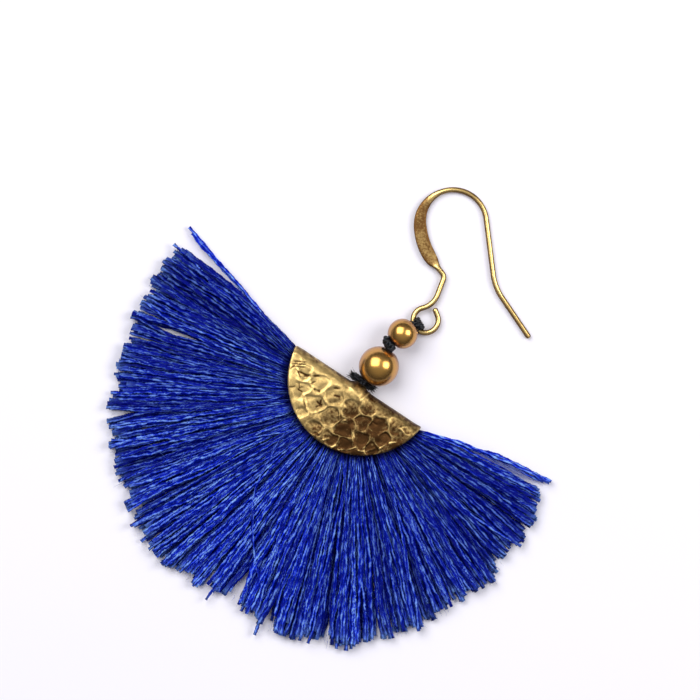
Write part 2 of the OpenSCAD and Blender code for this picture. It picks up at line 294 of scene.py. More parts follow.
class Graph:
    """A node tree with short calls that add nodes and join them."""

    def __init__(self, tree: bpy.types.NodeTree) -> None:
        """Keeps the tree.

        Args:
            tree: Tree of a material, world or node group.
        """
        self.tree = tree

    def put(self, socket: bpy.types.NodeSocket, value: object) -> None:
        """Joins another socket to this one, or sets its own value.

        Args:
            socket: Input of a node.
            value: Output of another node, or a plain value.
        """
        if isinstance(value, bpy.types.NodeSocket):
            self.tree.links.new(value, socket)
        else:
            socket.default_value = value

    def add(self, kind: str, settings: dict | None = None, **inputs: object) -> bpy.types.Node:
        """Adds a node.

        Args:
            kind: Blender's name of the node without its leading ShaderNode.
            settings: Properties of the node.
            inputs: Its sockets by name, with spaces written as underscores.

        Returns:
            The node.
        """
        node = self.tree.nodes.new("ShaderNode" + kind)
        for key, value in (settings or {}).items():
            setattr(node, key, value)
        for key, value in inputs.items():
            self.put(node.inputs[key.replace("_", " ")], value)
        return node

    def math(self, operation: str, *values: object) -> bpy.types.NodeSocket:
        """Result of a Math node.

        Args:
            operation: Blender's name of the operation.
            values: What it works on, sockets or numbers.

        Returns:
            The result.
        """
        node = self.add("Math", {"operation": operation})
        for socket, value in zip(node.inputs, values):
            self.put(socket, value)
        return node.outputs[0]

    def mix(self, factor: object, low: object, high: object) -> bpy.types.NodeSocket:
        """Colour between two others.

        Args:
            factor: Share of the second colour.
            low: First colour.
            high: Second colour.

        Returns:
            The mixed colour.
        """
        node = self.add("Mix", {"data_type": "RGBA"})
        for socket, value in zip((node.inputs[0], node.inputs[6], node.inputs[7]), (factor, low, high)):
            self.put(socket, value)
        return node.outputs[2]

    def spread(self, value: object, low: float, high: float, to_low: float = 0.0,
               to_high: float = 1.0) -> bpy.types.NodeSocket:
        """Value carried from one range to another, held at its ends.

        Args:
            value: Socket to carry over.
            low: Start of the first range.
            high: End of the first range.
            to_low: Start of the second range.
            to_high: End of the second range.

        Returns:
            The new value.
        """
        node = self.add("MapRange", Value=value, From_Min=low, From_Max=high, To_Min=to_low, To_Max=to_high)
        return node.outputs[0]

    def noise(self, vector: object, scale: object, detail: float = 3.0,
              roughness: float = 0.55) -> bpy.types.NodeSocket:
        """Noise over a vector, about 0.3 to 0.7."""
        node = self.add("TexNoise", Vector=vector, Scale=scale, Detail=detail, Roughness=roughness)
        return node.outputs[0]

    def attribute(self, name: str, output: str = "Fac") -> bpy.types.NodeSocket:
        """A named attribute of the mesh."""
        return self.add("Attribute", {"attribute_name": name}).outputs[output]

    def place(self) -> bpy.types.NodeSocket:
        """Position on the object, in metres."""
        return self.add("TexCoord").outputs["Object"]


@dataclass(frozen=True)
class Effect:
    """A shader node group that several materials share.

    Attributes:
        name: Name of the group.
        takes: Names and kinds of its inputs.
        gives: Names and kinds of its outputs.
    """

    name: str
    takes: dict[str, str]
    gives: dict[str, str]

    def start(self) -> tuple[Graph, bpy.types.Node, bpy.types.Node]:
        """Makes the empty group.

        Returns:
            Its graph, its input node and its output node.
        """
        tree = bpy.data.node_groups.new(self.name, "ShaderNodeTree")
        for way, sockets in (("INPUT", self.takes), ("OUTPUT", self.gives)):
            for key, kind in sockets.items():
                tree.interface.new_socket(name=key, in_out=way, socket_type="NodeSocket" + kind)
        return Graph(tree), tree.nodes.new("NodeGroupInput"), tree.nodes.new("NodeGroupOutput")

    def use(self, graph: Graph, **inputs: object) -> bpy.types.Node:
        """Places the group in a material, with its inputs by name."""
        return graph.add("Group", {"node_tree": bpy.data.node_groups[self.name]}, **inputs)


FIBRES = Effect("spun_fibres", {"Fineness": "Float", "Pitch": "Float"},
                {"Height": "Float", "GlintAndShade": "Float"})
TONING = Effect("brass_toning", {"Bright": "Color", "Toned": "Color", "Worn": "Float", "Grain": "Float",
                                 "Mottle": "Float"}, {"Color": "Color", "Roughness": "Float"})
HAIRLINES = Effect("hairline_scratches", {"Scale": "Float"}, {"Height": "Float", "Mask": "Float"})


def build_fibres() -> None:
    """Two plies wound round each other, each of fine fibres that run along it: their bump, and where
    painted glints and painted shade fall on them.
    """
    graph, given, result = FIBRES.start()
    lay = graph.add("SeparateXYZ", Vector=graph.attribute("strand", "Vector"))
    cosine, sine, along = lay.outputs
    wander = graph.noise(graph.add("CombineXYZ", Z=along).outputs[0], 0.35, 1.0)
    turns = graph.math("DIVIDE", along, given.outputs["Pitch"])
    phase = graph.math("MULTIPLY", graph.math("ADD", turns, wander), TURN)
    squared = graph.math("POWER", cosine, 2.0)
    double_cosine = graph.math("SUBTRACT", graph.math("MULTIPLY", squared, 2.0), 1.0)
    double_sine = graph.math("MULTIPLY", graph.math("MULTIPLY", sine, cosine), 2.0)
    ply = graph.math("SUBTRACT", graph.math("MULTIPLY", double_cosine, graph.math("COSINE", phase)),
                     graph.math("MULTIPLY", double_sine, graph.math("SINE", phase)))
    vector = graph.add("CombineXYZ", X=cosine, Y=sine, Z=graph.math("MULTIPLY", along, 0.8)).outputs[0]
    fine = graph.noise(vector, given.outputs["Fineness"], 3.0, 0.5)
    round_ply = graph.math("POWER", graph.spread(ply, -1.0, 1.0), 0.6)
    graph.put(result.inputs["Height"], graph.math("ADD", round_ply, graph.math("MULTIPLY", fine, 0.5)))
    # Painted glints fall on the plies' high side and are broken into dashes along the strand.
    lit = graph.math("ADD", graph.math("MULTIPLY", ply, 0.62), graph.math("MULTIPLY", fine, 1.9))
    shifted = graph.add("CombineXYZ", X=7.0, Z=along).outputs[0]
    dash = graph.math("MULTIPLY", graph.noise(shifted, 0.74, 1.0), 2.6)
    graph.put(result.inputs["GlintAndShade"], graph.spread(graph.math("ADD", lit, dash), 1.78, 3.1))


def build_toning() -> None:
    """Brass that is bright where its input of wear and painted light is high and brown where it is low."""
    graph, given, result = TONING.start()
    place = graph.place()
    grain = graph.noise(place, given.outputs["Grain"], 5.0, 0.6)
    cloud = graph.noise(place, 420.0, 3.0)
    loose = graph.math("MULTIPLY", graph.math("SUBTRACT", grain, 0.5), 1.3)
    drift = graph.math("MULTIPLY", graph.math("SUBTRACT", cloud, 0.5), 0.9)
    mottle = graph.math("MULTIPLY", graph.math("ADD", loose, drift), given.outputs["Mottle"])
    wear_and_light = graph.math("ADD", given.outputs["Worn"], mottle)
    mask = graph.spread(wear_and_light, 0.1, 0.9)
    graph.put(result.inputs["Color"], graph.mix(mask, given.outputs["Toned"], given.outputs["Bright"]))
    graph.put(result.inputs["Roughness"], graph.spread(mask, 0.0, 1.0, 0.42, 0.2))


def build_hairlines() -> None:
    """Short fine scratches in two directions."""
    graph, given, result = HAIRLINES.start()
    scale = given.outputs["Scale"]
    place = graph.add("VectorMath", {"operation": "SCALE"}, Vector=graph.place(), Scale=scale)
    lines = []
    for turn, stretch in ((0.5, 14.0), (1.9, 20.0)):
        laid = graph.add("Mapping", Vector=place.outputs[0], Rotation=(0.0, 0.0, turn),
                         Scale=(1.0, stretch, 1.0))
        lines.append(graph.noise(laid.outputs[0], 1.0, 2.0, 0.6))
    both = graph.math("MAXIMUM", *lines)
    graph.put(result.inputs["Height"], both)
    graph.put(result.inputs["Mask"], graph.spread(both, 0.6, 0.74))


def new_material(name: str) -> tuple[bpy.types.Material, Graph, bpy.types.Node]:
    """An empty material.

    Args:
        name: Its name.

    Returns:
        The material, its graph and its shader.
    """
    material = bpy.data.materials.new(name)
    material.use_nodes = True
    return material, Graph(material.node_tree), material.node_tree.nodes["Principled BSDF"]


def dimmed(color: Color, share: float) -> Color:
    """A colour with a share of its light."""
    return (*(share * part for part in color[:3]), 1.0)


@dataclass(frozen=True)
class ThreadFinish:
    """Spun thread or cord.

    Attributes:
        name: Name of the material.
        deep: Colour of the darkest strands.
        plain: Colour of most strands.
        light: Colour of painted glints and cut tips.
        roughness: Roughness of a strand.
        sheen: Weight of its fuzz.
        specular: Specular level.
        fineness: Fibres across a strand.
        pitch: Length of a turn of the plies in millimetres.
        bump: Depth of the fibres in metres.
    """

    name: str
    deep: Color
    plain: Color
    light: Color
    roughness: float
    sheen: float
    specular: float
    fineness: float
    pitch: float
    bump: float

    def build(self) -> bpy.types.Material:
        """Makes the material. Its mesh has the attributes strand, tone and tip.

        Returns:
            The material.
        """
        material, graph, shader = new_material(self.name)
        fibres = FIBRES.use(graph, Fineness=self.fineness, Pitch=self.pitch)
        tone = graph.attribute("tone")
        glint_and_shade = fibres.outputs["GlintAndShade"]
        # Painted shade in the grooves between the plies.
        groove = graph.spread(glint_and_shade, 0.0, 0.45, 0.15, 1.0)
        body = graph.mix(graph.math("MULTIPLY", tone, groove), self.deep, self.plain)
        # Painted glints where the plies stand highest, weaker on darker strands.
        shine = graph.spread(tone, 0.0, 1.0, 0.2, 1.0)
        painted_glint = graph.math("MULTIPLY", graph.spread(glint_and_shade, 0.45, 1.0), shine)
        with_painted_glints = graph.mix(painted_glint, body, self.light)
        end = graph.attribute("tip")
        cut = graph.mix(graph.spread(end, 0.0, 1.0, 0.0, 0.6), with_painted_glints, self.light)
        # Painted shade where tip is negative: the roots by the cap.
        shaded = graph.mix(graph.spread(end, 0.0, -1.0), cut, dimmed(self.deep, 0.3))
        graph.put(shader.inputs["Base Color"], shaded)
        bump = graph.add("Bump", Height=fibres.outputs["Height"], Strength=1.0, Distance=self.bump)
        graph.put(shader.inputs["Normal"], bump.outputs[0])
        settings = {"Roughness": self.roughness, "Specular IOR Level": self.specular,
                    "Sheen Weight": self.sheen, "Sheen Roughness": 0.4, "Sheen Tint": self.light}
        for key, value in settings.items():
            shader.inputs[key].default_value = value
        return material


@dataclass(frozen=True)
class BrassFinish:
    """Brass that is toned brown in its hollows and polished bright by wear on what stands proud, with
    painted light taken from its mesh.

    Attributes:
        name: Name of the material.
        bright: Colour of brass polished by wear, and of painted highlights.
        toned: Colour of brass with its patina.
        grain: Grains of the patina, per metre.
        scratch: Scratches, per metre.
        scratch_depth: Depth of a scratch in metres.
        rough: Roughness range of a polished and of a dull place.
        mottle: Strength of the patina's blotches.
        scuffs: How much a scratch adds to the roughness.
        wear_and_light_from: Wear and painted light that a 0 in the mesh's attribute stands for.
        wear_and_light_to: Wear and painted light that a 1 in the mesh's attribute stands for.
    """

    name: str
    bright: Color
    toned: Color
    grain: float
    scratch: float
    scratch_depth: float
    rough: tuple[float, float]
    mottle: float = 1.0
    scuffs: float = 0.12
    wear_and_light_from: float = 0.0
    wear_and_light_to: float = 1.0

    def build(self) -> bpy.types.Material:
        """Makes the material. Its mesh has the attribute worn.

        Returns:
            The material.
        """
        material, graph, shader = new_material(self.name)
        wear_and_light = graph.spread(graph.attribute("wear_and_light"), 0.0, 1.0, self.wear_and_light_from, self.wear_and_light_to)
        toning = TONING.use(graph, Bright=self.bright, Toned=self.toned, Worn=wear_and_light, Grain=self.grain,
                            Mottle=self.mottle)
        lines = HAIRLINES.use(graph, Scale=self.scratch)
        graph.put(shader.inputs["Base Color"], toning.outputs["Color"])
        dull = graph.spread(toning.outputs["Roughness"], 0.2, 0.42, *self.rough)
        scratched = graph.math("MULTIPLY", lines.outputs["Mask"], self.scuffs)
        graph.put(shader.inputs["Roughness"], graph.math("ADD", dull, scratched))
        bump = graph.add("Bump", Height=lines.outputs["Height"], Strength=1.0, Distance=self.scratch_depth)
        graph.put(shader.inputs["Normal"], bump.outputs[0])
        shader.inputs["Metallic"].default_value = 1.0
        return material


@dataclass(frozen=True)
class FloorFinish:
    """Smooth white paper.

    Attributes:
        name: Name of the material.
        color: Colour of the paper.
    """

    name: str = "white_paper"
    color: Color = (0.935, 0.93, 0.985, 1.0)

    def build(self) -> bpy.types.Material:
        """Makes the material.

        Returns:
            The material.
        """
        material, graph, shader = new_material(self.name)
        cloud = graph.noise(graph.place(), 30.0, 2.0)
        graph.put(shader.inputs["Base Color"], graph.mix(cloud, dimmed(self.color, 0.985), self.color))
        shader.inputs["Roughness"].default_value = 0.9
        return material


class Stray(NamedTuple):
    """A thread that lies apart from the locks.

    Attributes:
        root: Angle at which it leaves the cap, in degrees from -Y.
        tip: Angle of its tip.
        reach: Distance of its tip from the fold in millimetres.
        layer: Its height in the fan, 0 to 1.
        bow: How far it bows to its left in millimetres.
        taper: Share of its thickness that it loses towards its tip.
    """

    root: float
    tip: float
    reach: float
    layer: float
    bow: float
    taper: float = 0.0


@dataclass
class Fan:
    """The fan of cut thread, laid out round the middle of the cap's fold.

    Attributes:
        origin: Middle of the fold in the earring's frame, in millimetres.
        thread: Material of the threads.
        fibre: Material of the fine wisps at the right-hand edge.
        length: Length from the fold to the rim.
        threads: Number of threads.
        stations: Points along a thread.
        sides: Corners of a thread's section.
        pieces: Meshes that the fan is split into.
        spread: Angle of a thread's tip over the angle of its root.
        widest: Angle of the outermost roots on either side.
        exit_low: Underside of the threads where they leave the cap.
        exit_high: Upper side of the threads there.
        exit_fall: How far the upper side sinks while the underside comes down to the floor.
        landing: Share of the way at which the underside reaches the floor.
        rim_top: Upper side of the threads at the rim.
        half_root: Half width of a thread in the cap.
        half_tip: Half width of a thread at the rim.
        twist_pitch: Length of a full turn of the twist.
        waves: Lengths and strengths of the waves in which a thread wanders.
        rim: Reach of the rim by angle, as a share of the length.
        locks: Number of locks that the threads gather into.
        fibre_count: Number of single fibres.
        wisps: How many of them lie between the right-hand strays and the threads.
        fibre_sides: Corners of a fibre's section.
        partings: Places where the threads part: angle, shares of the length where the parting
            starts and ends, and its half width.
        strays: Threads beside the fan and threads that lie across it.
        seed: Seed of the layout.
    """

    origin: np.ndarray
    thread: bpy.types.Material
    fibre: bpy.types.Material
    length: float = 36.4
    threads: int = 860
    stations: int = 56
    sides: int = 6
    pieces: int = 4
    spread: float = 1.16
    widest: float = 94.5
    exit_low: float = 1.05
    exit_high: float = 2.95
    exit_fall: float = 0.12
    landing: float = 0.26
    rim_top: float = 1.7
    half_root: float = 0.155
    half_tip: float = 0.285
    twist_pitch: float = 3.4
    waves: tuple[tuple[float, float], ...] = ((22.0, 1.0), (9.0, 0.45), (4.2, 0.2))
    rim: tuple[tuple[float, float], ...] = (
        (-98, 0.78), (-94, 0.86), (-88, 0.895), (-76, 0.90), (-68, 0.905), (-60, 0.93), (-56, 0.92),
        (-52, 0.955), (-44, 0.98), (-36, 1.00), (-28, 1.00), (-16, 1.01), (-8, 0.99), (0, 0.965),
        (8, 0.975), (16, 1.02), (22, 1.00), (28, 1.01), (34, 0.985), (44, 0.97), (52, 0.94),
        (58, 0.915), (68, 0.92), (74, 0.87), (88, 0.85), (97, 0.77))
    locks: int = 74
    fibre_count: int = 620
    wisps: int = 80
    fibre_sides: int = 3
    partings: tuple[tuple[float, float, float, float], ...] = (
        (-73.5, 0.55, 0.98, 0.375), (-50.0, 0.78, 1.3, 0.62), (2.7, 0.74, 1.30, 0.95),
        (12.1, 0.84, 1.25, 0.65), (38.0, 0.86, 1.3, 0.4), (-63.0, 0.88, 1.3, 0.4), (57.0, 0.8, 1.3, 0.4),
        (26.0, 0.88, 1.2, 0.5), (-31.0, 0.88, 1.3, 0.45), (72.0, 0.86, 1.3, 0.4))
    strays: tuple[Stray, ...] = (
        Stray(-80.5, -99.6, 32.5, 0.25, 0.1), Stray(-79.6, -99.1, 31.6, 0.5, 0.05),
        Stray(-80.2, -98.7, 30.0, 0.3, 0.0), Stray(80.0, 97.2, 30.0, 0.3, 0.6),
        Stray(80.9, 96.9, 29.8, 0.7, 0.65), Stray(79.7, 96.5, 29.0, 0.2, 0.55),
        Stray(80.2, 95.7, 27.0, 0.6, 0.6, 0.9), Stray(80.0, 94.9, 26.0, 0.3, 0.5, 0.9),
        Stray(79.6, 94.2, 26.6, 0.8, 0.45, 0.85), Stray(80.6, 95.3, 24.0, 0.9, 0.5, 0.9),
        Stray(-12.0, -30.5, 35.4, 1.0, -1.6), Stray(-8.0, -25.0, 37.4, 0.98, 0.5),
        Stray(14.0, 27.0, 35.0, 1.0, 1.4), Stray(34.0, 30.0, 35.5, 1.0, -0.9),
        Stray(-52.0, -47.0, 34.6, 1.0, 0.8), Stray(61.0, 79.0, 31.8, 1.0, -0.8),
        Stray(-60.0, -78.0, 32.4, 0.96, 1.0), Stray(2.0, 9.5, 35.2, 1.0, -1.2),
        Stray(46.0, 47.0, 35.2, 1.0, 1.2), Stray(-34.0, -44.0, 35.4, 1.0, 1.1),
        Stray(-70.0, -74.0, 32.6, 1.0, -0.7), Stray(24.0, 22.0, 36.6, 1.0, 0.6),
        Stray(-38.0, 8.8, 32.6, 1.0, -4.0), Stray(8.0, 10.7, 37.7, 0.5, 0.2),
        Stray(-3.0, -2.2, 36.7, 0.7, 0.1), Stray(-20.0, -21.0, 37.4, 0.4, 0.2),
        Stray(27.0, 29.0, 36.8, 0.6, -0.2), Stray(-48.0, -55.0, 34.7, 0.5, 0.1),
        Stray(26.0, 31.0, 37.0, 0.6, 0.2), Stray(-84.0, -93.5, 32.6, 0.6, 0.2))
    seed: int = 20

    @property
    def share(self) -> np.ndarray:
        """Share of the way from the cap to the rim at each station."""
        return np.linspace(0, 1, self.stations)

    def roots(self, angle: np.ndarray, depth: float) -> np.ndarray:
        """Starts of threads inside the cap.

        Args:
            angle: Angles from -Y at which the threads leave the cap.
            depth: How far inside the cap's open edge they start.

        Returns:
            Points in the plane, from the middle of the fold.
        """
        drop = FOLD_OFF * np.cos(np.radians(angle))
        edge = ray(angle, np.sqrt(DISC_RADIUS ** 2 - FOLD_OFF ** 2 + drop ** 2) - drop)
        return edge * (1 - depth / np.linalg.norm(edge, axis=-1, keepdims=True))

    def reach(self, angle: np.ndarray) -> np.ndarray:
        """Length of the fan at an angle from -Y."""
        table = np.array(self.rim)
        return self.length * np.interp(angle, table[:, 0], table[:, 1])

    def low(self, u: np.ndarray) -> np.ndarray:
        """Underside of the fan at a share of the way from the cap to the rim."""
        return self.exit_low * np.clip(1 - u / self.landing, 0, 1)

    def high(self, u: np.ndarray) -> np.ndarray:
        """Upper side of the fan at a share of the way from the cap to the rim.

        Args:
            u: Shares of the way.

        Returns:
            Heights in millimetres.
        """
        near = self.exit_high - self.exit_fall
        beyond = np.clip((u - self.landing) / (1 - self.landing), 0, 1)
        fall = near + (self.rim_top - near) * beyond ** 1.25
        return np.where(u < self.landing, self.exit_high - self.exit_fall * u / self.landing, fall)

    def half(self) -> np.ndarray:
        """Half width of a thread at each station."""
        return self.half_root + (self.half_tip - self.half_root) * smooth(0, 0.6, self.share)

    def routes(self, root: np.ndarray, tip: np.ndarray, layer: np.ndarray, sway: np.ndarray,
               rng: np.random.Generator, bow: np.ndarray) -> np.ndarray:
        """Middle lines of threads from the cap to their tips.

        Args:
            root: Start of each thread in the plane, from the middle of the fold.
            tip: End of each thread in the plane.
            layer: Height of each thread in the fan, 0 to 1.
            sway: How far a thread wanders sideways in millimetres.
            rng: Source of the wandering.
            bow: Sideways offset at each station of each thread.

        Returns:
            Array of threads, stations and coordinates in the earring's frame.
        """
        each = (len(root), 1)
        u = self.share
        across = crosswise(unit(tip - root))
        ends = np.linalg.norm(tip - root, axis=-1)[:, None]
        offset = np.zeros((len(root), self.stations))
        for wavelength, strength in self.waves:
            phase = rng.uniform(0, TURN, each)
            pitch = TURN / (wavelength * rng.uniform(0.75, 1.3, each))
            wave = strength * rng.uniform(0.3, 1, each) * np.sin(pitch * u * ends + phase)
            offset += sway[:, None] * wave
        offset *= smooth(0.05, 0.5, u)
        offset += bow
        plane = root[:, None] + (tip - root)[:, None] * u[:, None] + across[:, None] * offset[..., None]
        lift = rng.uniform(-0.1, 0.1, each)
        lift = lift * np.sin(TURN * u * ends / rng.uniform(7, 15, each) + rng.uniform(0, 6.3, each))
        half = self.half()
        floor = self.low(u) + 1.3 * half + 0.01
        top = self.high(u) - half
        z = floor + (top - floor) * np.clip(layer[:, None] + lift * smooth(0, 0.3, u), 0, 1)
        return np.concatenate([plane, z[..., None]], axis=-1) + self.origin

    def parted(self, aim: np.ndarray) -> np.ndarray:
        """Sideways offsets that open the partings.

        Args:
            aim: Angle of each thread's tip.

        Returns:
            One offset for each station of each thread.
        """
        offset = np.zeros((len(aim), self.stations))
        for angle, start, end, width in self.partings:
            beside = (aim - angle)[:, None]
            push = np.sign(beside) * width * np.exp(-(beside / 2.2) ** 2)
            offset += push * np.sin(math.pi * np.clip((self.share - start) / (end - start), 0, 1)) ** 2
        return offset

    def oval(self, routes: np.ndarray, tone: np.ndarray, rng: np.random.Generator,
             scale: float | np.ndarray = 1.0) -> Strands:
        """Twisted oval threads along their routes.

        Args:
            routes: Middle lines of the threads.
            tone: Lightness of each thread, 0 to 1.
            rng: Source of the variation.
            scale: Thickness of the threads over the usual one.

        Returns:
            The strands.
        """
        each = (len(routes), 1)
        half = self.half() * scale * rng.uniform(0.85, 1.12, each)
        along = lengths_along(routes)
        pitch = self.twist_pitch * rng.uniform(0.85, 1.2, each)
        turn = TURN * along / pitch + rng.uniform(0, 6.3, each)
        swell = 1 + 0.14 * smooth(0.97, 1.0, self.share)
        left = along[:, -1:] - along
        bleached = rng.uniform(0, 1, each) ** 1.5 * np.exp(-left / 0.6)
        # Painted shade on the roots, inside the cap and just beyond its open edge.
        painted_cap_shade = smooth(3.8, 2.5, along)
        return Strands(routes, half * swell, half * 0.74 * swell, turn, tone, bleached - painted_cap_shade)

    def body(self, rng: np.random.Generator) -> Strands:
        """All threads of the fan, gathered into locks.

        Args:
            rng: Source of the layout.

        Returns:
            The strands, in order of their angle.
        """
        count, locks, widest = self.threads, self.locks, self.widest
        angle = np.linspace(-widest, widest, count) + rng.normal(0, 0.15, count)
        middles = np.sort(np.linspace(-widest, widest, locks) + rng.uniform(-0.9, 0.9, locks))
        apart = angle[:, None] - middles[None, :] + rng.normal(0, 0.35, (count, 1))
        near = np.abs(apart).argmin(axis=1)
        under = np.isin(np.arange(count) % 5, (0, 2))
        pull = np.where(under, 0.04, rng.uniform(0.25, 0.85, locks)[near])
        aim = angle + (middles[near] - angle) * pull
        aim = np.clip(aim + rng.normal(0, np.where(under, 0.15, 0.6)), -96.5, 93.2)
        slip = rng.exponential(0.018, count) + 0.02 * rng.uniform(-1, 1, locks)[near] + 0.012 * under
        tips = ray(aim, self.reach(aim) * (1.0 - np.clip(slip, -0.014, 0.09)))
        root = self.roots(np.clip(angle + rng.normal(0, 1.2, count), -96, 96) / self.spread, 2.4)
        above = np.clip(rng.uniform(0.25, 1, count) + rng.normal(0, 0.12, locks)[near], 0, 1)
        layer = np.where(under, rng.uniform(0, 0.35, count), above)
        fuller = 0.4 * smooth(84, 93, aim) - 0.75 * smooth(-82, -94, aim)
        bow = self.parted(aim) + fuller[:, None] * np.sin(math.pi * self.share)
        routes = self.routes(root, tips, layer, np.where(under, 0.12, 0.24), rng, bow)
        between = np.clip(np.abs(angle - middles[near]) / (widest / locks), 0, 1.2)
        # Random tone shared within the locks, with painted shade on the threads at their edges, between the
        # locks.
        lock_tone_and_shade = rng.normal(0, 0.14, locks)[near] - 0.22 * between ** 2
        # Painted shade on the lower threads: darker the lower their layer, and darker again in the under
        # layer.
        tone = 0.12 + 0.72 * layer - 0.12 * under + lock_tone_and_shade + rng.normal(0, 0.17, count)
        # Painted light by angle: the middle of the fan brighter, its left side darker and its far right
        # brighter again.
        sides = 0.42 - 0.12 * smooth(-30, -70, angle) + 0.34 * smooth(84, 92, angle)
        tone = np.clip(tone, 0, 1) * (sides + 0.83 * np.exp(-(angle / 54) ** 2))
        return self.oval(routes, tone, rng)

    def loose(self, rng: np.random.Generator) -> Strands:
        """Strays beside the fan and threads that lie across it.

        Args:
            rng: Source of their wandering.

        Returns:
            The strands.
        """
        start, aim, reach, layer, bow, taper = np.array(self.strays).T
        root = self.roots(start, 2.0)
        bow = bow[:, None] * np.sin(math.pi * self.share)
        routes = self.routes(root, ray(aim, reach), layer, np.full(len(aim), 0.3), rng, bow)
        beside = np.abs(aim) > 93.6
        thickness = 0.95 * (1 - taper[:, None] * smooth(0.3, 1, self.share))
        return self.oval(routes, np.where(beside, 1.1, 0.7), rng, thickness)

    def fibres(self, rng: np.random.Generator) -> Strands:
        """Single fibres that stand off the threads and off their cut ends.

        Args:
            rng: Source of the layout.

        Returns:
            The strands, with the wisps first.
        """
        count, steps = self.fibre_count, 9
        u = np.linspace(0, 1, steps)[None, :, None]
        angle = rng.uniform(-90, 90, count)
        at_rim = rng.random(count) < 0.4
        angle = np.where(at_rim, angle, 0.92 * angle)
        span = np.where(at_rim, rng.uniform(0.4, 1.3, count), rng.uniform(2, 6, count))
        inside = rng.uniform(0.25, 0.82, count) * self.reach(angle)
        fray = np.where(at_rim, self.reach(angle) - rng.uniform(0.6, 2.2, count), inside)
        wisp = np.arange(count) < self.wisps
        at_rim &= ~wisp
        across_gap = rng.uniform(0, 1, count)
        fray = np.where(wisp, rng.uniform(15, 20, count), fray)
        angle = np.where(wisp, 90.2 + 3.2 * across_gap + 0.3 * (fray - 17), angle)
        start = ray(angle, fray)
        ending = ray(93.4 + 3.3 * across_gap, rng.uniform(24.5, 29.3, count)) - start
        span = np.where(wisp, np.linalg.norm(ending, axis=-1), span)
        heading = np.radians(angle * 1.12 + rng.normal(0, 9, count))
        way = np.stack([np.sin(heading), -np.cos(heading)], axis=-1)
        way = np.where(wisp[:, None], unit(ending), way)
        curl = rng.normal(0, 0.13, count) * np.where(wisp, 0.12, 1) * span + 0.2 * wisp
        plane = start[:, None] + way[:, None] * (span[:, None, None] * u)
        plane = plane + crosswise(way)[:, None] * (curl[:, None, None] * np.sin(math.pi * u * 0.8))
        share = np.clip((np.linalg.norm(start, axis=-1) - 10) / 26, 0, 1)
        height = np.where(at_rim, rng.uniform(0.15, 1.0, count) * self.rim_top, self.high(share) - 0.02)
        height = np.where(wisp, rng.uniform(0.2, 1.2, count), height)
        arch = rng.uniform(0.0, 0.14, count)[:, None, None] * np.sin(math.pi * u)
        z = np.clip(height[:, None, None] + arch, 0.04, 2.9)
        centres = np.concatenate([plane, z], axis=-1) + self.origin
        half = rng.uniform(0.018, 0.032, (count, 1)) * (1 - 0.6 * u[..., 0])
        flat = np.zeros((count, steps))
        light = np.where(wisp, 1.0, 0.5)[:, None]
        return Strands(centres, half, half, flat, rng.uniform(0.5, 1, count), flat + light)

    def build(self) -> list[bpy.types.Object]:
        """Makes the fan.

        Returns:
            Its pieces.
        """
        rng = np.random.default_rng(self.seed)
        strands = self.body(rng)
        loose = self.loose(rng)
        fibres = self.fibres(rng)
        parts = np.array_split(np.arange(self.threads), self.pieces)
        layout = [(f"fan_threads_{part}", strands.some(rows), self.sides, self.thread)
                  for part, rows in enumerate(parts, start=1)]
        layout += [("fan_strays", loose, self.sides, self.thread),
                   ("fan_wisps", fibres.some(slice(self.wisps)), self.fibre_sides, self.fibre),
                   ("fan_fibres", fibres.some(slice(self.wisps, None)), self.fibre_sides, self.thread)]
        made = [strand_piece(name, some, sides, material)
                for name, some, sides, material in layout]
        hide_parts("fan_tassel")
        return made


class Crease(NamedTuple):
    """A short line pressed or torn into the cap.

    Attributes:
        x: Its middle along the fold, as a share of the disc's radius.
        y: Its middle towards the mouth, as a share of the disc's radius.
        turn: Its direction in degrees.
        length: Its length in millimetres.
        width: Its width in millimetres.
        rise: Its height in millimetres, negative where it is sunk.
    """

    x: float
    y: float
    turn: float
    length: float
    width: float
    rise: float


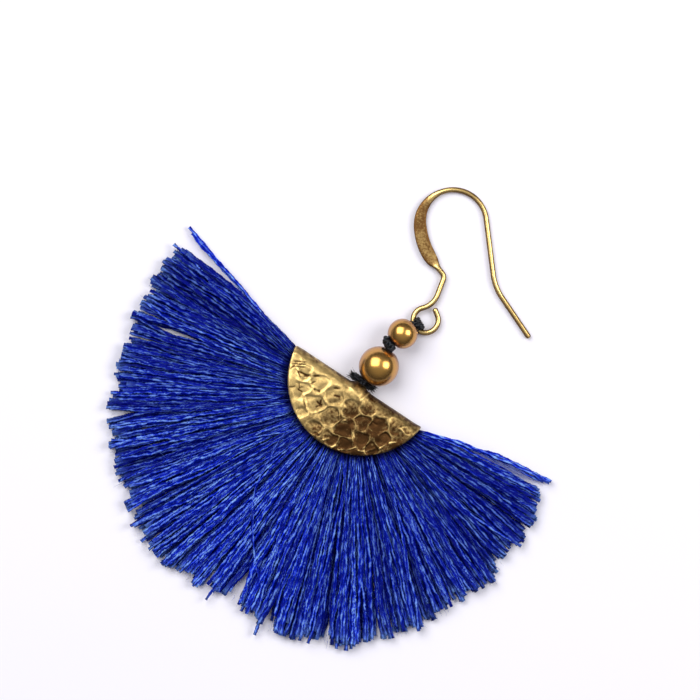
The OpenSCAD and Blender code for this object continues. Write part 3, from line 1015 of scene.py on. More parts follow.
@dataclass
class Cap:
    """The folded and stamped brass disc over the head of the fan.

    Attributes:
        origin: Middle of the fold in the earring's frame, in millimetres.
        brass: Its material.
        wall: Thickness of the sheet.
        fold_t: Thickness of the cap over its fold.
        mouth_t: Thickness of the cap over its mouth.
        lift: Height of the cap over the floor.
        grid: Quads along each side of the sheet.
        cell_depth: Depth of a stamped cell.
        cells: Middles and radii of the cells as shares of the disc's radius.
        creases: Creases and scratches on the faces.
        seeds: Seeds of the relief on the upper and on the lower face.
    """

    origin: np.ndarray
    brass: bpy.types.Material
    wall: float = 0.45
    fold_t: float = 3.7
    mouth_t: float = 3.0
    lift: float = 0.15
    grid: int = 196
    cell_depth: float = 0.145
    cells: tuple[tuple[float, float, float], ...] = (
        (-0.89, -0.17, 0.06), (-0.71, -0.24, 0.10), (-0.47, -0.25, 0.12), (-0.63, -0.47, 0.11),
        (-0.36, -0.52, 0.12), (-0.20, -0.28, 0.12), (-0.10, -0.55, 0.12), (0.07, -0.30, 0.11),
        (0.29, -0.37, 0.10), (0.14, -0.58, 0.11), (0.50, -0.28, 0.11), (0.41, -0.57, 0.09),
        (0.28, -0.15, 0.10), (-0.19, -0.77, 0.09), (0.06, -0.79, 0.09),
        (0.70, -0.18, 0.09), (0.68, -0.40, 0.09), (0.59, -0.60, 0.08), (0.28, -0.75, 0.09),
        (-0.46, -0.71, 0.06), (0.87, -0.12, 0.05))
    creases: tuple[Crease, ...] = (
        Crease(-0.83, -0.155, 42, 2.4, 0.09, -0.07), Crease(-0.82, -0.19, 40, 2.6, 0.09, -0.08),
        Crease(-0.81, -0.225, 38, 2.2, 0.08, -0.06), Crease(-0.71, -0.27, 18, 2.2, 0.15, -0.10),
        Crease(-0.66, -0.27, 63, 1.0, 0.1, -0.08), Crease(-0.75, -0.31, -20, 1.3, 0.1, -0.07),
        Crease(-0.44, -0.354, 23, 1.3, 0.14, -0.11), Crease(-0.47, -0.60, -30, 1.6, 0.12, -0.08),
        Crease(-0.31, -0.49, -2, 1.4, 0.09, -0.07), Crease(-0.30, -0.51, 66, 1.2, 0.08, -0.06),
        Crease(-0.64, -0.45, 80, 0.9, 0.08, -0.06), Crease(-0.62, -0.48, 20, 1.0, 0.08, -0.05),
        Crease(-0.67, -0.43, -40, 0.9, 0.08, -0.05), Crease(-0.54, -0.30, 70, 1.1, 0.08, -0.05),
        Crease(-0.88, -0.28, 85, 1.2, 0.08, -0.05), Crease(-0.74, -0.50, 55, 1.5, 0.09, -0.05),
        Crease(-0.22, -0.18, 40, 1.4, 0.14, -0.08), Crease(-0.17, -0.27, 35, 1.2, 0.12, -0.07),
        Crease(-0.31, -0.46, -60, 1.0, 0.1, -0.07), Crease(0.02, -0.83, 60, 1.4, 0.13, 0.09),
        Crease(0.16, -0.86, 75, 1.2, 0.12, 0.08), Crease(0.27, -0.83, 50, 1.3, 0.12, 0.09),
        Crease(0.38, -0.74, 66, 1.5, 0.12, 0.08), Crease(0.50, -0.70, 40, 1.3, 0.12, 0.09),
        Crease(0.60, -0.62, 62, 1.6, 0.12, 0.08), Crease(0.70, -0.50, 80, 1.6, 0.11, 0.08),
        Crease(0.78, -0.38, 55, 1.4, 0.12, 0.08), Crease(-0.12, -0.84, 20, 1.2, 0.12, -0.07),
        Crease(0.44, -0.30, 15, 1.2, 0.12, -0.05), Crease(-0.55, -0.20, 50, 1.2, 0.12, -0.06),
        Crease(0.30, -0.58, -25, 1.0, 0.1, 0.06), Crease(0.08, -0.50, 70, 1.1, 0.1, 0.05))
    seeds: tuple[int, int] = (5, 31)

    def section(self, s: np.ndarray) -> tuple[np.ndarray, np.ndarray, np.ndarray, np.ndarray]:
        """Folded section of the sheet's outer face.

        Args:
            s: Length along the section from the fold, positive on the upper face.

        Returns:
            Y and Z of the face, and Y and Z of its outward normal.
        """
        r = self.fold_t / 2
        quarter = math.pi / 2 * r
        turn = np.clip(s / r, -math.pi / 2, math.pi / 2)
        slant = math.atan((self.fold_t - self.mouth_t) / 2 / (DISC_RADIUS - FOLD_OFF - r))
        beyond = np.maximum(np.abs(s) - quarter, 0)
        y = -r + r * np.cos(turn) - beyond * math.cos(slant)
        z = r * np.sin(turn) - np.sign(s) * beyond * math.sin(slant)
        flat = smooth(0, 1, beyond / 0.6)
        ny = np.cos(turn) * (1 - flat) - math.sin(slant) * flat
        nz = np.sin(turn) * (1 - flat) + np.sign(s) * math.cos(slant) * flat
        size = np.hypot(ny, nz)
        return y, z, ny / size, nz / size

    def sheet(self) -> tuple[np.ndarray, np.ndarray]:
        """Grid of points over the flat sheet, square to round.

        Returns:
            Places along the fold and across it, and the share of the way to the edge.
        """
        line = np.linspace(-1, 1, self.grid + 1)
        a, b = np.meshgrid(line, line, indexing="ij")
        share = np.maximum(np.abs(a), np.abs(b))
        wide = np.abs(a) > np.abs(b)
        with np.errstate(divide="ignore", invalid="ignore"):
            turn = np.where(wide, math.pi / 4 * b / a, math.pi / 2 - math.pi / 4 * a / b)
        turn = np.where(np.isfinite(turn), turn, 0) + np.where(np.where(wide, a, b) < 0, math.pi, 0)
        low = np.zeros_like(turn)
        far = np.full_like(turn, 2 * DISC_RADIUS)
        for _ in range(40):
            middle = (low + far) / 2
            y = self.section(middle * np.sin(turn))[0]
            inside = (middle * np.cos(turn)) ** 2 + (y - FOLD_OFF) ** 2 < DISC_RADIUS ** 2
            low = np.where(inside, middle, low)
            far = np.where(inside, far, middle)
        reach = low * share
        return np.stack([reach * np.cos(turn), reach * np.sin(turn)], axis=-1), share

    def relief(self, x: np.ndarray, y: np.ndarray, seed: int) -> tuple[np.ndarray, np.ndarray]:
        """Stamped cells, ridges and creases.

        Args:
            x: Places along the fold.
            y: Places towards the mouth, negative.
            seed: Seed of the small swells.

        Returns:
            Height of the face, and its wear with painted shade towards the right-hand end, 0 toned to 1
            bright.
        """
        place = np.stack([x, y], axis=-1)
        warped = place + 0.2 * np.stack([ripple(place, 2.0, seed), ripple(place, 2.0, seed + 1)], axis=-1)
        table = np.array(self.cells)
        middles = table[:, :2] * DISC_RADIUS
        size = 0.2 + table[:, 2] * DISC_RADIUS
        away = np.stack([np.hypot(*np.moveaxis(warped - middle, -1, 0)) / r
                         for middle, r in zip(middles, size)])
        nearest = away.argmin(axis=0)
        order = np.sort(away, axis=0)
        own = size[nearest]
        beyond = (order[0] - 1) * own
        gap = (order[1] - order[0]) * own
        from_middle = warped - middles[nearest]
        turn = np.arctan2(from_middle[..., 1], from_middle[..., 0])
        broken = 0.55 + 0.45 * np.sin(turn + 2.4 * nearest) + 0.25 * ripple(place, 1.6, seed + 6)
        among = smooth(1.6, 1.25, order[0])
        ring = np.exp(-(beyond / 0.14) ** 2) * np.clip(broken, 0, 1)
        web = np.exp(-(gap / 0.19) ** 2) * among * np.clip(0.75 + 0.5 * ripple(place, 2.2, seed + 7), 0, 1)
        # Towards the right-hand end the cell floors get painted shade; towards the left the crests are
        # lower.
        shade = smooth(-0.4, 0.8, self.rightward(x, y))
        crest = np.maximum(ring, web) * (0.34 + 0.66 * smooth(0.0, 0.5, shade))
        floor = smooth(-0.05, 0.4, -beyond) * smooth(0.05, 0.4, gap)
        inner = np.exp(-((beyond + 0.42) / 0.13) ** 2) * np.clip(1 - 1.6 * broken, 0, 1)
        rough = ripple(place, 0.75, seed + 2) * 0.5 + ripple(place, 0.42, seed + 3) * 0.3
        dome = np.clip(1 - order[0] ** 2, 0, 1)
        height = -self.cell_depth * floor + 0.036 * crest + 0.03 * inner
        height += 0.05 * dome + 0.008 * rough + 0.03 * ripple(place, 1.7, seed + 4)
        wear_and_light = 0.42 + 0.55 * np.maximum(crest, 0.7 * inner) - (0.04 + 0.17 * shade) * floor + 0.1 * rough
        for crease in self.creases:
            turn = math.radians(crease.turn)
            way = np.array([math.cos(turn), math.sin(turn)])
            off = place - DISC_RADIUS * np.array([crease.x, crease.y])
            run = off @ way
            side = off @ crosswise(way) + 0.12 * np.sin(2.1 * run)
            line = np.exp(-(side / crease.width) ** 2)
            line = line * smooth(crease.length / 2, crease.length / 4, np.abs(run))
            height += crease.rise * line
            wear_and_light += (0.7 if crease.rise > 0 else -0.75) * line
        return height, wear_and_light

    @staticmethod
    def rightward(x: np.ndarray, y: np.ndarray) -> np.ndarray:
        """How far a place lies towards the end of the cap that gets painted shade, about -1 to 1."""
        return (x * 0.85 - y * 0.4) / DISC_RADIUS

    def dressing(self, flat: np.ndarray, y: np.ndarray, rim: np.ndarray) -> tuple[np.ndarray, np.ndarray]:
        """Relief, wear and painted light of the whole sheet, with its fold, its pucker and its rim.

        Args:
            flat: Places on the flat sheet: along the fold, and across it.
            y: Places towards the mouth, negative.
            rim: Distances from the open edge.

        Returns:
            Height of the face, and its wear with painted light and shade, 0 toned to 1 bright.
        """
        x, s = flat[..., 0], flat[..., 1]
        upper, across = s > 0, np.abs(s)
        high, wear_and_light_high = self.relief(x, y, self.seeds[0])
        low, wear_and_light_low = self.relief(x, y, self.seeds[1])
        height = np.where(upper, high, low)
        wear_and_light = np.where(upper, wear_and_light_high, wear_and_light_low)

        calm = np.exp(-((x + 0.1) / 2.2) ** 6) * smooth(3.7, 2.6, across)
        band = np.maximum(smooth(2.6, 1.5, across), calm)
        edge = smooth(1.9, 0.7, across)
        height *= 1 - 0.85 * band
        # Along the fold the wear gives way to a middle value, with painted shade towards the fold's edge
        # where the sheet turns over.
        wear_and_light = wear_and_light * (1 - band) + (0.46 - 0.34 * edge + 0.12 * ripple(flat, 1.4, 9)) * band

        bulge = np.exp(-((x - 0.1) / 1.15) ** 4) * smooth(3.2, 0.6, across)
        ridge = np.exp(-((x - 1.72 + 0.14 * across) / 0.17) ** 2) * smooth(3.1, 2.3, across)
        hem = np.exp(-((across - 1.53 - 0.31 * (x + 1.9)) / 0.17) ** 2) * np.exp(-((x + 0.4) / 1.7) ** 6)
        height += 0.5 * bulge
        height += 0.12 * ridge + 0.06 * hem
        wear_and_light += 0.42 * ridge + 0.26 * hem

        # Painted light on the upper face: brighter towards the left and painted shade towards the right,
        # the left's brightening weaker near the fold's edge, with painted glints on the brightest crests in
        # the shade.
        right = self.rightward(x, y)
        dim = smooth(-0.42, 0.6, right) * (1 - 0.42 * smooth(-4.2, -1.2, y))
        glints = 0.5 * dim * smooth(0.8, 1.3, wear_and_light)
        shaded = (wear_and_light + (0.3 - 0.48 * dim) * (1 - 0.75 * edge)) * (1 - 0.74 * dim) + glints
        wear_and_light = np.where(upper, shaded, wear_and_light)
        height *= 1 - 0.28 * smooth(0.1, -0.6, right)
        height -= 0.12 * np.exp(-(rim / 0.1) ** 2)
        # Brighter rim from wear, less of it in the painted shade towards the right.
        wear_and_light += (0.35 - 0.25 * dim) * np.exp(-(rim / 0.22) ** 2)
        return height, wear_and_light

    def build(self) -> bpy.types.Object:
        """Makes the cap: an outer and an inner face, joined round the open edge.

        Returns:
            Its piece.
        """
        flat, share = self.sheet()
        y, z, ny, nz = self.section(flat[..., 1])
        rim = (1 - share) * DISC_RADIUS
        height, wear_and_light = self.dressing(flat, y, rim)
        crimp = 0.09 * ripple(flat, 3.4, 17) * smooth(2.5, 0, rim)
        base = np.stack([flat[..., 0], y, z], axis=-1)
        normal = np.stack([np.zeros_like(y), ny, nz], axis=-1)
        outer = base + normal * (height + crimp)[..., None]
        inner = base - normal * (self.wall - crimp)[..., None]
        room = self.fold_t / 2 - self.wall
        inner[..., 2] = np.clip(inner[..., 2], -room, room)
        points = np.concatenate([outer.reshape(-1, 3), inner.reshape(-1, 3)])
        points += self.origin + [0, 0, self.lift + self.fold_t / 2]

        n = self.grid + 1
        quads = grid_faces(n, n, columns_meet=False)
        inside = quads[:, ::-1] + n * n
        rows = np.arange(n)
        loop = np.concatenate([rows * n, (n - 1) * n + rows[1:], (rows[::-1] * n + n - 1)[1:],
                               rows[::-1][1:-1]])
        after = np.roll(loop, -1)
        rim_quads = np.stack([loop, after, after + n * n, loop + n * n], axis=-1)
        faces = np.concatenate([quads, inside, rim_quads[:, ::-1]]).tolist()
        piece = new_piece("stamped_cap", points, faces, self.brass)
        add_floats(piece.data, "wear_and_light", np.concatenate([wear_and_light.ravel(), np.full(n * n, 0.1)]))
        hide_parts("cap")
        return piece


def turned_piece(name: str, profile: np.ndarray, centre: np.ndarray, axis: np.ndarray,
                 material: bpy.types.Material, sides: int = 96) -> tuple[bpy.types.Object, np.ndarray]:
    """A closed profile turned round an axis.

    Args:
        name: Name of the piece.
        profile: Radius and height of each point of the profile.
        centre: Middle of the piece in millimetres.
        axis: Direction of the axis.
        material: Its material.
        sides: Steps round the axis.

    Returns:
        The piece and the profile point of each vertex.
    """
    axis = unit(np.asarray(axis, float))
    side = unit(np.cross(axis, [0.0, 0, 1]))
    other = np.cross(axis, side)
    turn = np.arange(sides) * TURN / sides
    out = np.cos(turn)[:, None] * side + np.sin(turn)[:, None] * other
    points = centre + out[:, None] * profile[None, :, :1] + axis * profile[None, :, 1:]
    faces = grid_faces(sides, len(profile), rows_meet=True).tolist()
    piece = new_piece(name, points.reshape(-1, 3), faces, material)
    return piece, np.tile(profile, (sides, 1))


@dataclass
class Bead:
    """A drilled brass bead with a flat, from wear, round each hole.

    Attributes:
        name: Name of its piece.
        node: Name of its solid.
        brass: Its material.
        diameter: Diameter across the hole.
        turn: Direction of the hole in the plane, in degrees.
        rise: Slope of the hole, in degrees.
        bore: Diameter of the hole.
        collar: Width of the flat round the hole.
    """

    name: str
    node: str
    brass: bpy.types.Material
    diameter: float
    turn: float
    rise: float
    bore: float = 1.2
    collar: float = 0.32

    @property
    def axis(self) -> np.ndarray:
        """Direction of the hole."""
        turn, rise = math.radians(self.turn), math.radians(self.rise)
        return np.array([math.cos(turn) * math.cos(rise), math.sin(turn) * math.cos(rise), math.sin(rise)])

    @property
    def centre(self) -> np.ndarray:
        """Middle of the solid, in millimetres."""
        low, high = node_box(self.node)
        return (low + high) / 2

    @property
    def lip(self) -> float:
        """Radius of the flat round the hole."""
        return self.bore / 2 + self.collar

    @property
    def half(self) -> float:
        """Distance of each flat from the middle."""
        return math.sqrt((self.diameter / 2) ** 2 - self.lip ** 2)

    def mouth(self, way: int) -> np.ndarray:
        """Point just outside the hole, at its start (-1) or at its end (1)."""
        return self.centre + way * self.axis * (self.half + 0.1)

    def profile(self) -> np.ndarray:
        """Section of the bead: ball, rolled lip, flat and hole.

        Returns:
            Radius and height of each point, once round.
        """
        r, hole, lip, half = self.diameter / 2, self.bore / 2, self.lip, self.half
        edge = math.asin(half / r) - 0.05
        lean = np.linspace(-edge, edge, 61)
        ball = np.stack([r * np.cos(lean), r * np.sin(lean)], axis=-1)
        groove = np.array([[lip + 0.02, half - 0.07], [lip - 0.08, half - 0.06], [lip - 0.12, half - 0.01],
                           [lip - 0.22, half], [hole + 0.04, half - 0.01], [hole, half - 0.06]])
        return np.concatenate([ball, groove, [[hole, 0.0]], groove[::-1] * [1, -1]])

    def build(self) -> bpy.types.Object:
        """Makes the bead.

        Returns:
            Its piece.
        """
        piece, around = turned_piece(self.name, self.profile(), self.centre, self.axis,
                                     self.brass)
        # Painted shade round each hole, where the cord goes in.
        near = smooth(self.lip + 0.75, self.lip - 0.1, around[:, 0])
        near = near * (np.abs(around[:, 1]) > 0.5 * self.half)
        normals = np.empty(3 * len(around))
        piece.data.vertices.foreach_get("normal", normals)
        # Painted light: brighter where the surface faces up, toned where it faces sideways.
        painted_light = 0.1 + 0.85 * np.clip(normals[2::3], 0, 1) ** 1.2
        add_floats(piece.data, "wear_and_light", painted_light * (1 - near))
        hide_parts(self.node)
        return piece


@dataclass
class CordWork:
    """The black cord: core, knot between the beads, roll over the cap and turns round the ring.

    Attributes:
        origin: Middle of the fold in the earring's frame, in millimetres.
        cord: Its material.
        large: The large bead.
        small: The small bead.
        turns_out: Direction of the turns from the middle of the ring, in degrees.
        seed: Seed of the layout.
    """

    origin: np.ndarray
    cord: bpy.types.Material
    large: Bead
    small: Bead
    turns_out: float = 244.0
    seed: int = 7

    @property
    def rolled(self) -> tuple[np.ndarray, float, float]:
        """Middle, length and radius of the roll over the cap."""
        low, high = node_box("binding_knot")
        return (low + high) / 2, high[0] - low[0], (high[2] - low[2]) / 2

    def plied(self, lines: np.ndarray, radius: float, pitch: float, rng: np.random.Generator) -> Strands:
        """Twisted oval strands along the lines.

        Args:
            lines: Middle lines of the strands.
            radius: Half width of a strand.
            pitch: Length of a turn of the twist.
            rng: Source of the variation.

        Returns:
            The strands.
        """
        count = len(lines)
        turn = TURN * lengths_along(lines) / pitch + rng.uniform(0, 6.3, (count, 1))
        wide = np.full(lines.shape[:2], radius)
        return Strands(lines, wide, wide * 0.72, turn, rng.uniform(0.2, 0.8, count), np.zeros_like(wide))

    def core(self, rng: np.random.Generator) -> Strands:
        """Three strands that run from the fold through both beads.

        Args:
            rng: Source of the variation.

        Returns:
            The strands.
        """
        route = np.array([self.origin + [0.05, -1.3, 2.2], self.origin + [0.2, 0.7, 2.35],
                          self.large.mouth(-1), self.large.mouth(1),
                          self.small.mouth(-1), self.small.mouth(1), self.crown()])
        lengths = lengths_along(route[None])[0]
        where = np.linspace(0, lengths[-1], 60)
        line = np.stack([np.interp(where, lengths, route[:, k]) for k in range(3)], axis=-1)
        side, up = strand_frames(line[None])
        lines = []
        for phase in np.arange(3) * TURN / 3:
            angle = (where * TURN / 4.5 + phase)[:, None]
            lines.append(line + 0.22 * (np.cos(angle) * side[0] + np.sin(angle) * up[0]))
        return self.plied(np.array(lines), 0.22, 1.3, rng)

    def crown(self) -> np.ndarray:
        """Top of the turns, where the core reaches them."""
        turn, out = math.radians(self.turns_out), RING_RADIUS - 0.66
        return np.array([RING[0] + out * math.cos(turn), RING[1] + out * math.sin(turn), 2.35])

    def ring_turns(self, rng: np.random.Generator) -> Strands:
        """Closed turns of cord round the wire of the ring.

        Args:
            rng: Source of the variation.

        Returns:
            The strands.
        """
        turn = math.radians(self.turns_out)
        out = np.array([math.cos(turn), math.sin(turn), 0.0])
        across = np.array([-math.sin(turn), math.cos(turn), 0.0])
        low, low_radius = np.array([RING_RADIUS - 0.16, RING[2] + 0.03]), 0.60
        high, high_radius = np.array([RING_RADIUS - 0.66, 2.15]), 0.33
        round_turn = np.linspace(0, TURN, 48, endpoint=False)
        way = np.stack([np.cos(round_turn), np.sin(round_turn)], axis=-1)
        lines = []
        for place, lean in ((-0.78, 0.05), (-0.39, -0.03), (0.0, 0.04), (0.39, -0.03), (0.78, -0.05)):
            pull = 1 - 0.05 * abs(place)
            support_low = way @ low + low_radius * pull
            support_high = way @ high + high_radius * pull
            upper = smooth(-0.12, 0.12, support_high - support_low)[:, None]
            spot = (low + low_radius * pull * way) * (1 - upper) + (high + high_radius * pull * way) * upper
            shift = place + lean * np.sin(round_turn)
            squeeze = 1 - 0.16 * smooth(1.2, 2.4, spot[:, 1])
            line = RING * [1, 1, 0] + spot[:, :1] * out + (shift * squeeze)[:, None] * across
            lines.append(line + np.array([0, 0, 1.0]) * np.maximum(spot[:, 1:], 0.28))
        return self.plied(np.array(lines), 0.24, 1.6, rng)

    def coil(self, centre: np.ndarray, along: tuple[float, float, float], length: float,
             girth: tuple[float, float], turns: float, stations: int = 90) -> np.ndarray:
        """Line of a coil round a short axis.

        Args:
            centre: Middle of the coil.
            along: Direction of its axis.
            length: Length of its axis.
            girth: Half height and half width of its turns.
            turns: Number of turns.
            stations: Points along the line.

        Returns:
            The line.
        """
        way = unit(np.array(along))
        side = unit(np.cross(way, [0.0, 0, 1]))
        up = np.cross(side, way)
        u = np.linspace(0, 1, stations)[:, None]
        angle = TURN * turns * u
        swell = 0.72 + 0.28 * np.sin(math.pi * u)
        return (centre + way * (u - 0.5) * length + up * girth[0] * swell * np.cos(angle)
                + side * girth[1] * swell * np.sin(angle))

    def knot(self, rng: np.random.Generator) -> Strands:
        """The knot that lies across the gap between the beads.

        Args:
            rng: Source of the variation.

        Returns:
            The strands.
        """
        middle = (self.large.mouth(1) + self.small.mouth(-1)) / 2 + np.array([-0.42, 0.08, 0.2])
        lines = [self.coil(middle, (1.85, -0.61, 0.25), 1.5, (0.5, 0.46), 3.5),
                 self.coil(middle + [0.3, -0.1, 0.1], (1.0, -1.4, 0.2), 1.1, (0.5, 0.46), 2.4),
                 self.coil(middle + [-0.62, 0.36, 0.0], (-0.5, 1.6, 0.2), 0.9, (0.44, 0.34), 2.2)]
        return self.plied(np.array(lines), 0.3, 1.2, rng)

    def roll(self, rng: np.random.Generator) -> Strands:
        """The bundle of cord ends tied across the drop over the cap.

        Args:
            rng: Source of the variation.

        Returns:
            The strands.
        """
        middle, length, radius = self.rolled
        u = np.linspace(-0.5, 0.5, 48)
        pinch = 1 - 0.16 * np.exp(-(u / 0.12) ** 2)
        outside = 6
        lines = []
        for strand in range(outside + 1):
            away = 0.0 if strand == outside else radius * 0.72
            angle = strand * TURN / outside + 1.9 * u
            lines.append(middle + np.stack([u * (length * rng.uniform(0.86, 1.0)),
                                            1.28 * away * pinch * np.cos(angle),
                                            away * pinch * np.sin(angle)], axis=-1))
        bundle = self.plied(np.array(lines), radius * 0.5, 1.1, rng)
        return bundle._replace(tip=bundle.tip + smooth(0.44, 0.5, np.abs(u)) * 0.6)

    def frays(self, rng: np.random.Generator) -> Strands:
        """Spiky fibres at the cut ends of the roll.

        Args:
            rng: Source of the layout.

        Returns:
            The strands.
        """
        middle, length, radius = self.rolled
        u = np.linspace(0, 1, 7)[:, None]
        lines = []
        for end in (-1, 1):
            for _ in range(60):
                inside = rng.uniform(0, radius * 0.95)
                phase = rng.uniform(0, TURN)
                out = np.array([0, math.cos(phase), math.sin(phase)])
                start = middle + np.array([end * length * 0.46, 0, 0]) + out * inside
                way = unit(np.array([end * 1.0, 0, 0]) + out * rng.uniform(0, 1.1))
                bend = rng.normal(0, 0.1, 3)
                line = start + way * u * rng.uniform(0.3, 0.85) + bend * u * u
                line[:, 2] = np.maximum(line[:, 2], 0.1)
                lines.append(line)
        centres = np.array(lines)
        half = np.broadcast_to(0.035 * (1 - 0.7 * u[:, 0]), centres.shape[:2])
        flat = np.zeros(centres.shape[:2])
        return Strands(centres, half, half, flat, rng.uniform(0.3, 0.9, len(lines)), flat)

    def build(self) -> list[bpy.types.Object]:
        """Makes the cord.

        Returns:
            Its pieces.
        """
        rng = np.random.default_rng(self.seed)
        layout = (("cord_core", self.core, 12, False), ("cord_ring_turns", self.ring_turns, 14, True),
                  ("cord_middle_knot", self.knot, 14, False), ("cord_roll", self.roll, 14, False),
                  ("cord_frays", self.frays, 4, False))
        made = [strand_piece(name, lay(rng), sides, self.cord, closed)
                for name, lay, sides, closed in layout]
        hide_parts("bead_cord")
        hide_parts("binding_knot")
        return made


@dataclass
class EarHook:
    """The ear hook, bent from one wire and hammered flat at its front.

    Attributes:
        brass: Its material.
        wire: Diameter of the wire.
        ring_radius: Radius of the ring.
        ring_open: Direction of the ring's start, in degrees.
        ring_end: Straight free end of the ring.
        bends: Rest of the wire: length of a straight, or radius and angle of a bend.
        paddle: Start and end of the flattened stretch along the wire.
        paddle_width: Width of the flattened stretch.
        paddle_form: Share of its length, of its width, and thickness as a share of the wire.
        lean: Slope of the hook in degrees.
        lie_turn: Direction of the line that it leans about, in degrees.
        step: Distance between two sections of the wire.
        sides: Corners of a section.
    """

    brass: bpy.types.Material
    wire: float = 0.75
    ring_radius: float = RING_RADIUS
    ring_open: float = 54.7
    ring_end: float = 1.1
    bends: tuple[tuple[float, float], ...] = (
        (1.1, 0), (1.76, -278), (2.9, 56), (2.3, 0), (0.9, 59), (1.7, 0), (9.7, -35), (4.65, -176),
        (7.8, 0), (7.5, 27), (6.8, 0))
    paddle: tuple[float, float] = (16.60, 29.33)
    paddle_width: float = 1.88
    paddle_form: tuple[tuple[float, float, float], ...] = (
        (0, 0.39, 1.0), (0.04, 0.56, 0.80), (0.09, 0.86, 0.58), (0.16, 1.00, 0.46), (0.27, 1.02, 0.44),
        (0.40, 1.00, 0.46), (0.52, 0.95, 0.48), (0.64, 0.84, 0.54), (0.76, 0.68, 0.64), (0.88, 0.52, 0.8),
        (1, 0.39, 1.0))
    lean: float = 1.864
    lie_turn: float = 144.0
    step: float = 0.16
    sides: int = 28

    def line(self) -> tuple[np.ndarray, np.ndarray]:
        """Middle of the wire in the plane of the hook.

        Returns:
            X, Y and heading at each section, and the length along the wire.
        """
        turn = math.radians(self.ring_open)
        heading = turn - math.pi / 2
        x = self.ring_radius * math.cos(turn) - self.ring_end * math.cos(heading)
        y = self.ring_radius * math.sin(turn) - self.ring_end * math.sin(heading)
        rows, lengths, gone = [], [], 0.0
        for size, angle in self.bends:
            length = size * math.radians(abs(angle)) if angle else size
            count = max(3, round(length / self.step))
            radius = math.copysign(size, angle) if angle else 0.0
            for k in range(count):
                way = length * k / count
                rows.append(self.along(x, y, heading, way, radius))
                lengths.append(gone + way)
            x, y, heading = self.along(x, y, heading, length, radius)
            gone += length
        rows.append((x, y, heading))
        lengths.append(gone)
        return np.array(rows), np.array(lengths)

    @staticmethod
    def along(x: float, y: float, heading: float, way: float, radius: float) -> tuple[float, float, float]:
        """Place on a straight or a bend.

        Args:
            x: X of its start.
            y: Y of its start.
            heading: Direction at its start, in radians.
            way: Length along it.
            radius: Signed radius of the bend, or 0 where it is straight.

        Returns:
            X, Y and heading.
        """
        if not radius:
            return x + way * math.cos(heading), y + way * math.sin(heading), heading
        after = heading + way / radius
        return (x + radius * (math.sin(after) - math.sin(heading)),
                y - radius * (math.cos(after) - math.cos(heading)), after)

    def build(self) -> bpy.types.Object:
        """Makes the hook.

        Returns:
            Its piece.
        """
        rows, length = self.line()
        form = np.array(self.paddle_form)
        share = (length - self.paddle[0]) / (self.paddle[1] - self.paddle[0])
        flat = (share > 0) & (share < 1)
        half = self.wire / 2
        broad = self.paddle_width / 2 * np.interp(share, form[:, 0], form[:, 1])
        half_wide = np.maximum(np.where(flat, broad, half), half)
        half_thick = np.where(flat, half * np.interp(share, form[:, 0], form[:, 2]), half)
        for values in (half_wide, half_thick):
            values[2:-2] = np.convolve(values, np.ones(5) / 5, "valid")
        ends = np.minimum(length, length[-1] - length)
        blunt = np.sqrt(np.clip(1 - (1 - np.clip(ends / 0.14, 0.12, 1)) ** 2, 0, 1))
        around = np.arange(self.sides) * TURN / self.sides
        hammered = 0.5 + 0.5 * np.clip((half - half_thick) / (0.25 * self.wire), 0, 1)
        power = 1.6 - 1.2 * hammered
        cosine, sine = np.cos(around)[None, :], np.sin(around)[None, :]
        across = np.sign(cosine) * np.abs(cosine) ** power[:, None] * (half_wide * blunt)[:, None]
        squarer = np.minimum(1, power + 0.15)[:, None]
        up = np.sign(sine) * np.abs(sine) ** squarer * (half_thick * blunt)[:, None]
        dents = 0.02 * ripple(rows[:, None, :2] + across[..., None] * [0.6, 0.8], 1.7, 3)
        up = up * (1 + dents * flat[:, None])
        normal = np.stack([-np.sin(rows[:, 2]), np.cos(rows[:, 2])], axis=-1)
        plane = rows[:, None, :2] + across[..., None] * normal[:, None]
        points = np.concatenate([plane, up[..., None]], axis=-1)
        points = self.leaned(points.reshape(-1, 3))
        n, m = len(rows), self.sides
        quads = grid_faces(n, m)[:, [0, 3, 2, 1]]
        faces = quads.tolist() + [list(range(m))[::-1], list(range((n - 1) * m, n * m))]
        piece = new_piece("hook_wire", points, faces, self.brass)
        dulled = 0.35 * np.exp(-((length - 33) / 4.5) ** 2) + 0.4 * smooth(46.5, 52, length)
        flatness = smooth(0.6, 0.9, hammered)
        # Painted highlight along the top and the underside of the wire, with toned sides; weaker on the
        # hammered paddle, near 33 mm along the wire and towards its end.
        painted_light = np.abs(np.broadcast_to(sine, (n, m))) ** 3.2
        painted_light = painted_light * ((1 - 0.78 * flatness) * (1 - dulled * (1 - flatness)))[:, None]
        add_floats(piece.data, "wear_and_light", painted_light)
        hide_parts("ear_hook")
        return piece

    def leaned(self, points: np.ndarray) -> np.ndarray:
        """Points of the hook's plane, leaned down to the floor and put in place.

        Args:
            points: Points from the middle of the ring.

        Returns:
            Points in the earring's frame.
        """
        turn, lean = math.radians(self.lie_turn), math.radians(self.lean)
        axis = np.array([math.cos(turn), math.sin(turn), 0.0])
        across = np.cross(axis, points) * math.sin(lean)
        along = axis * (points @ axis)[:, None] * (1 - math.cos(lean))
        return points * math.cos(lean) + across + along + RING


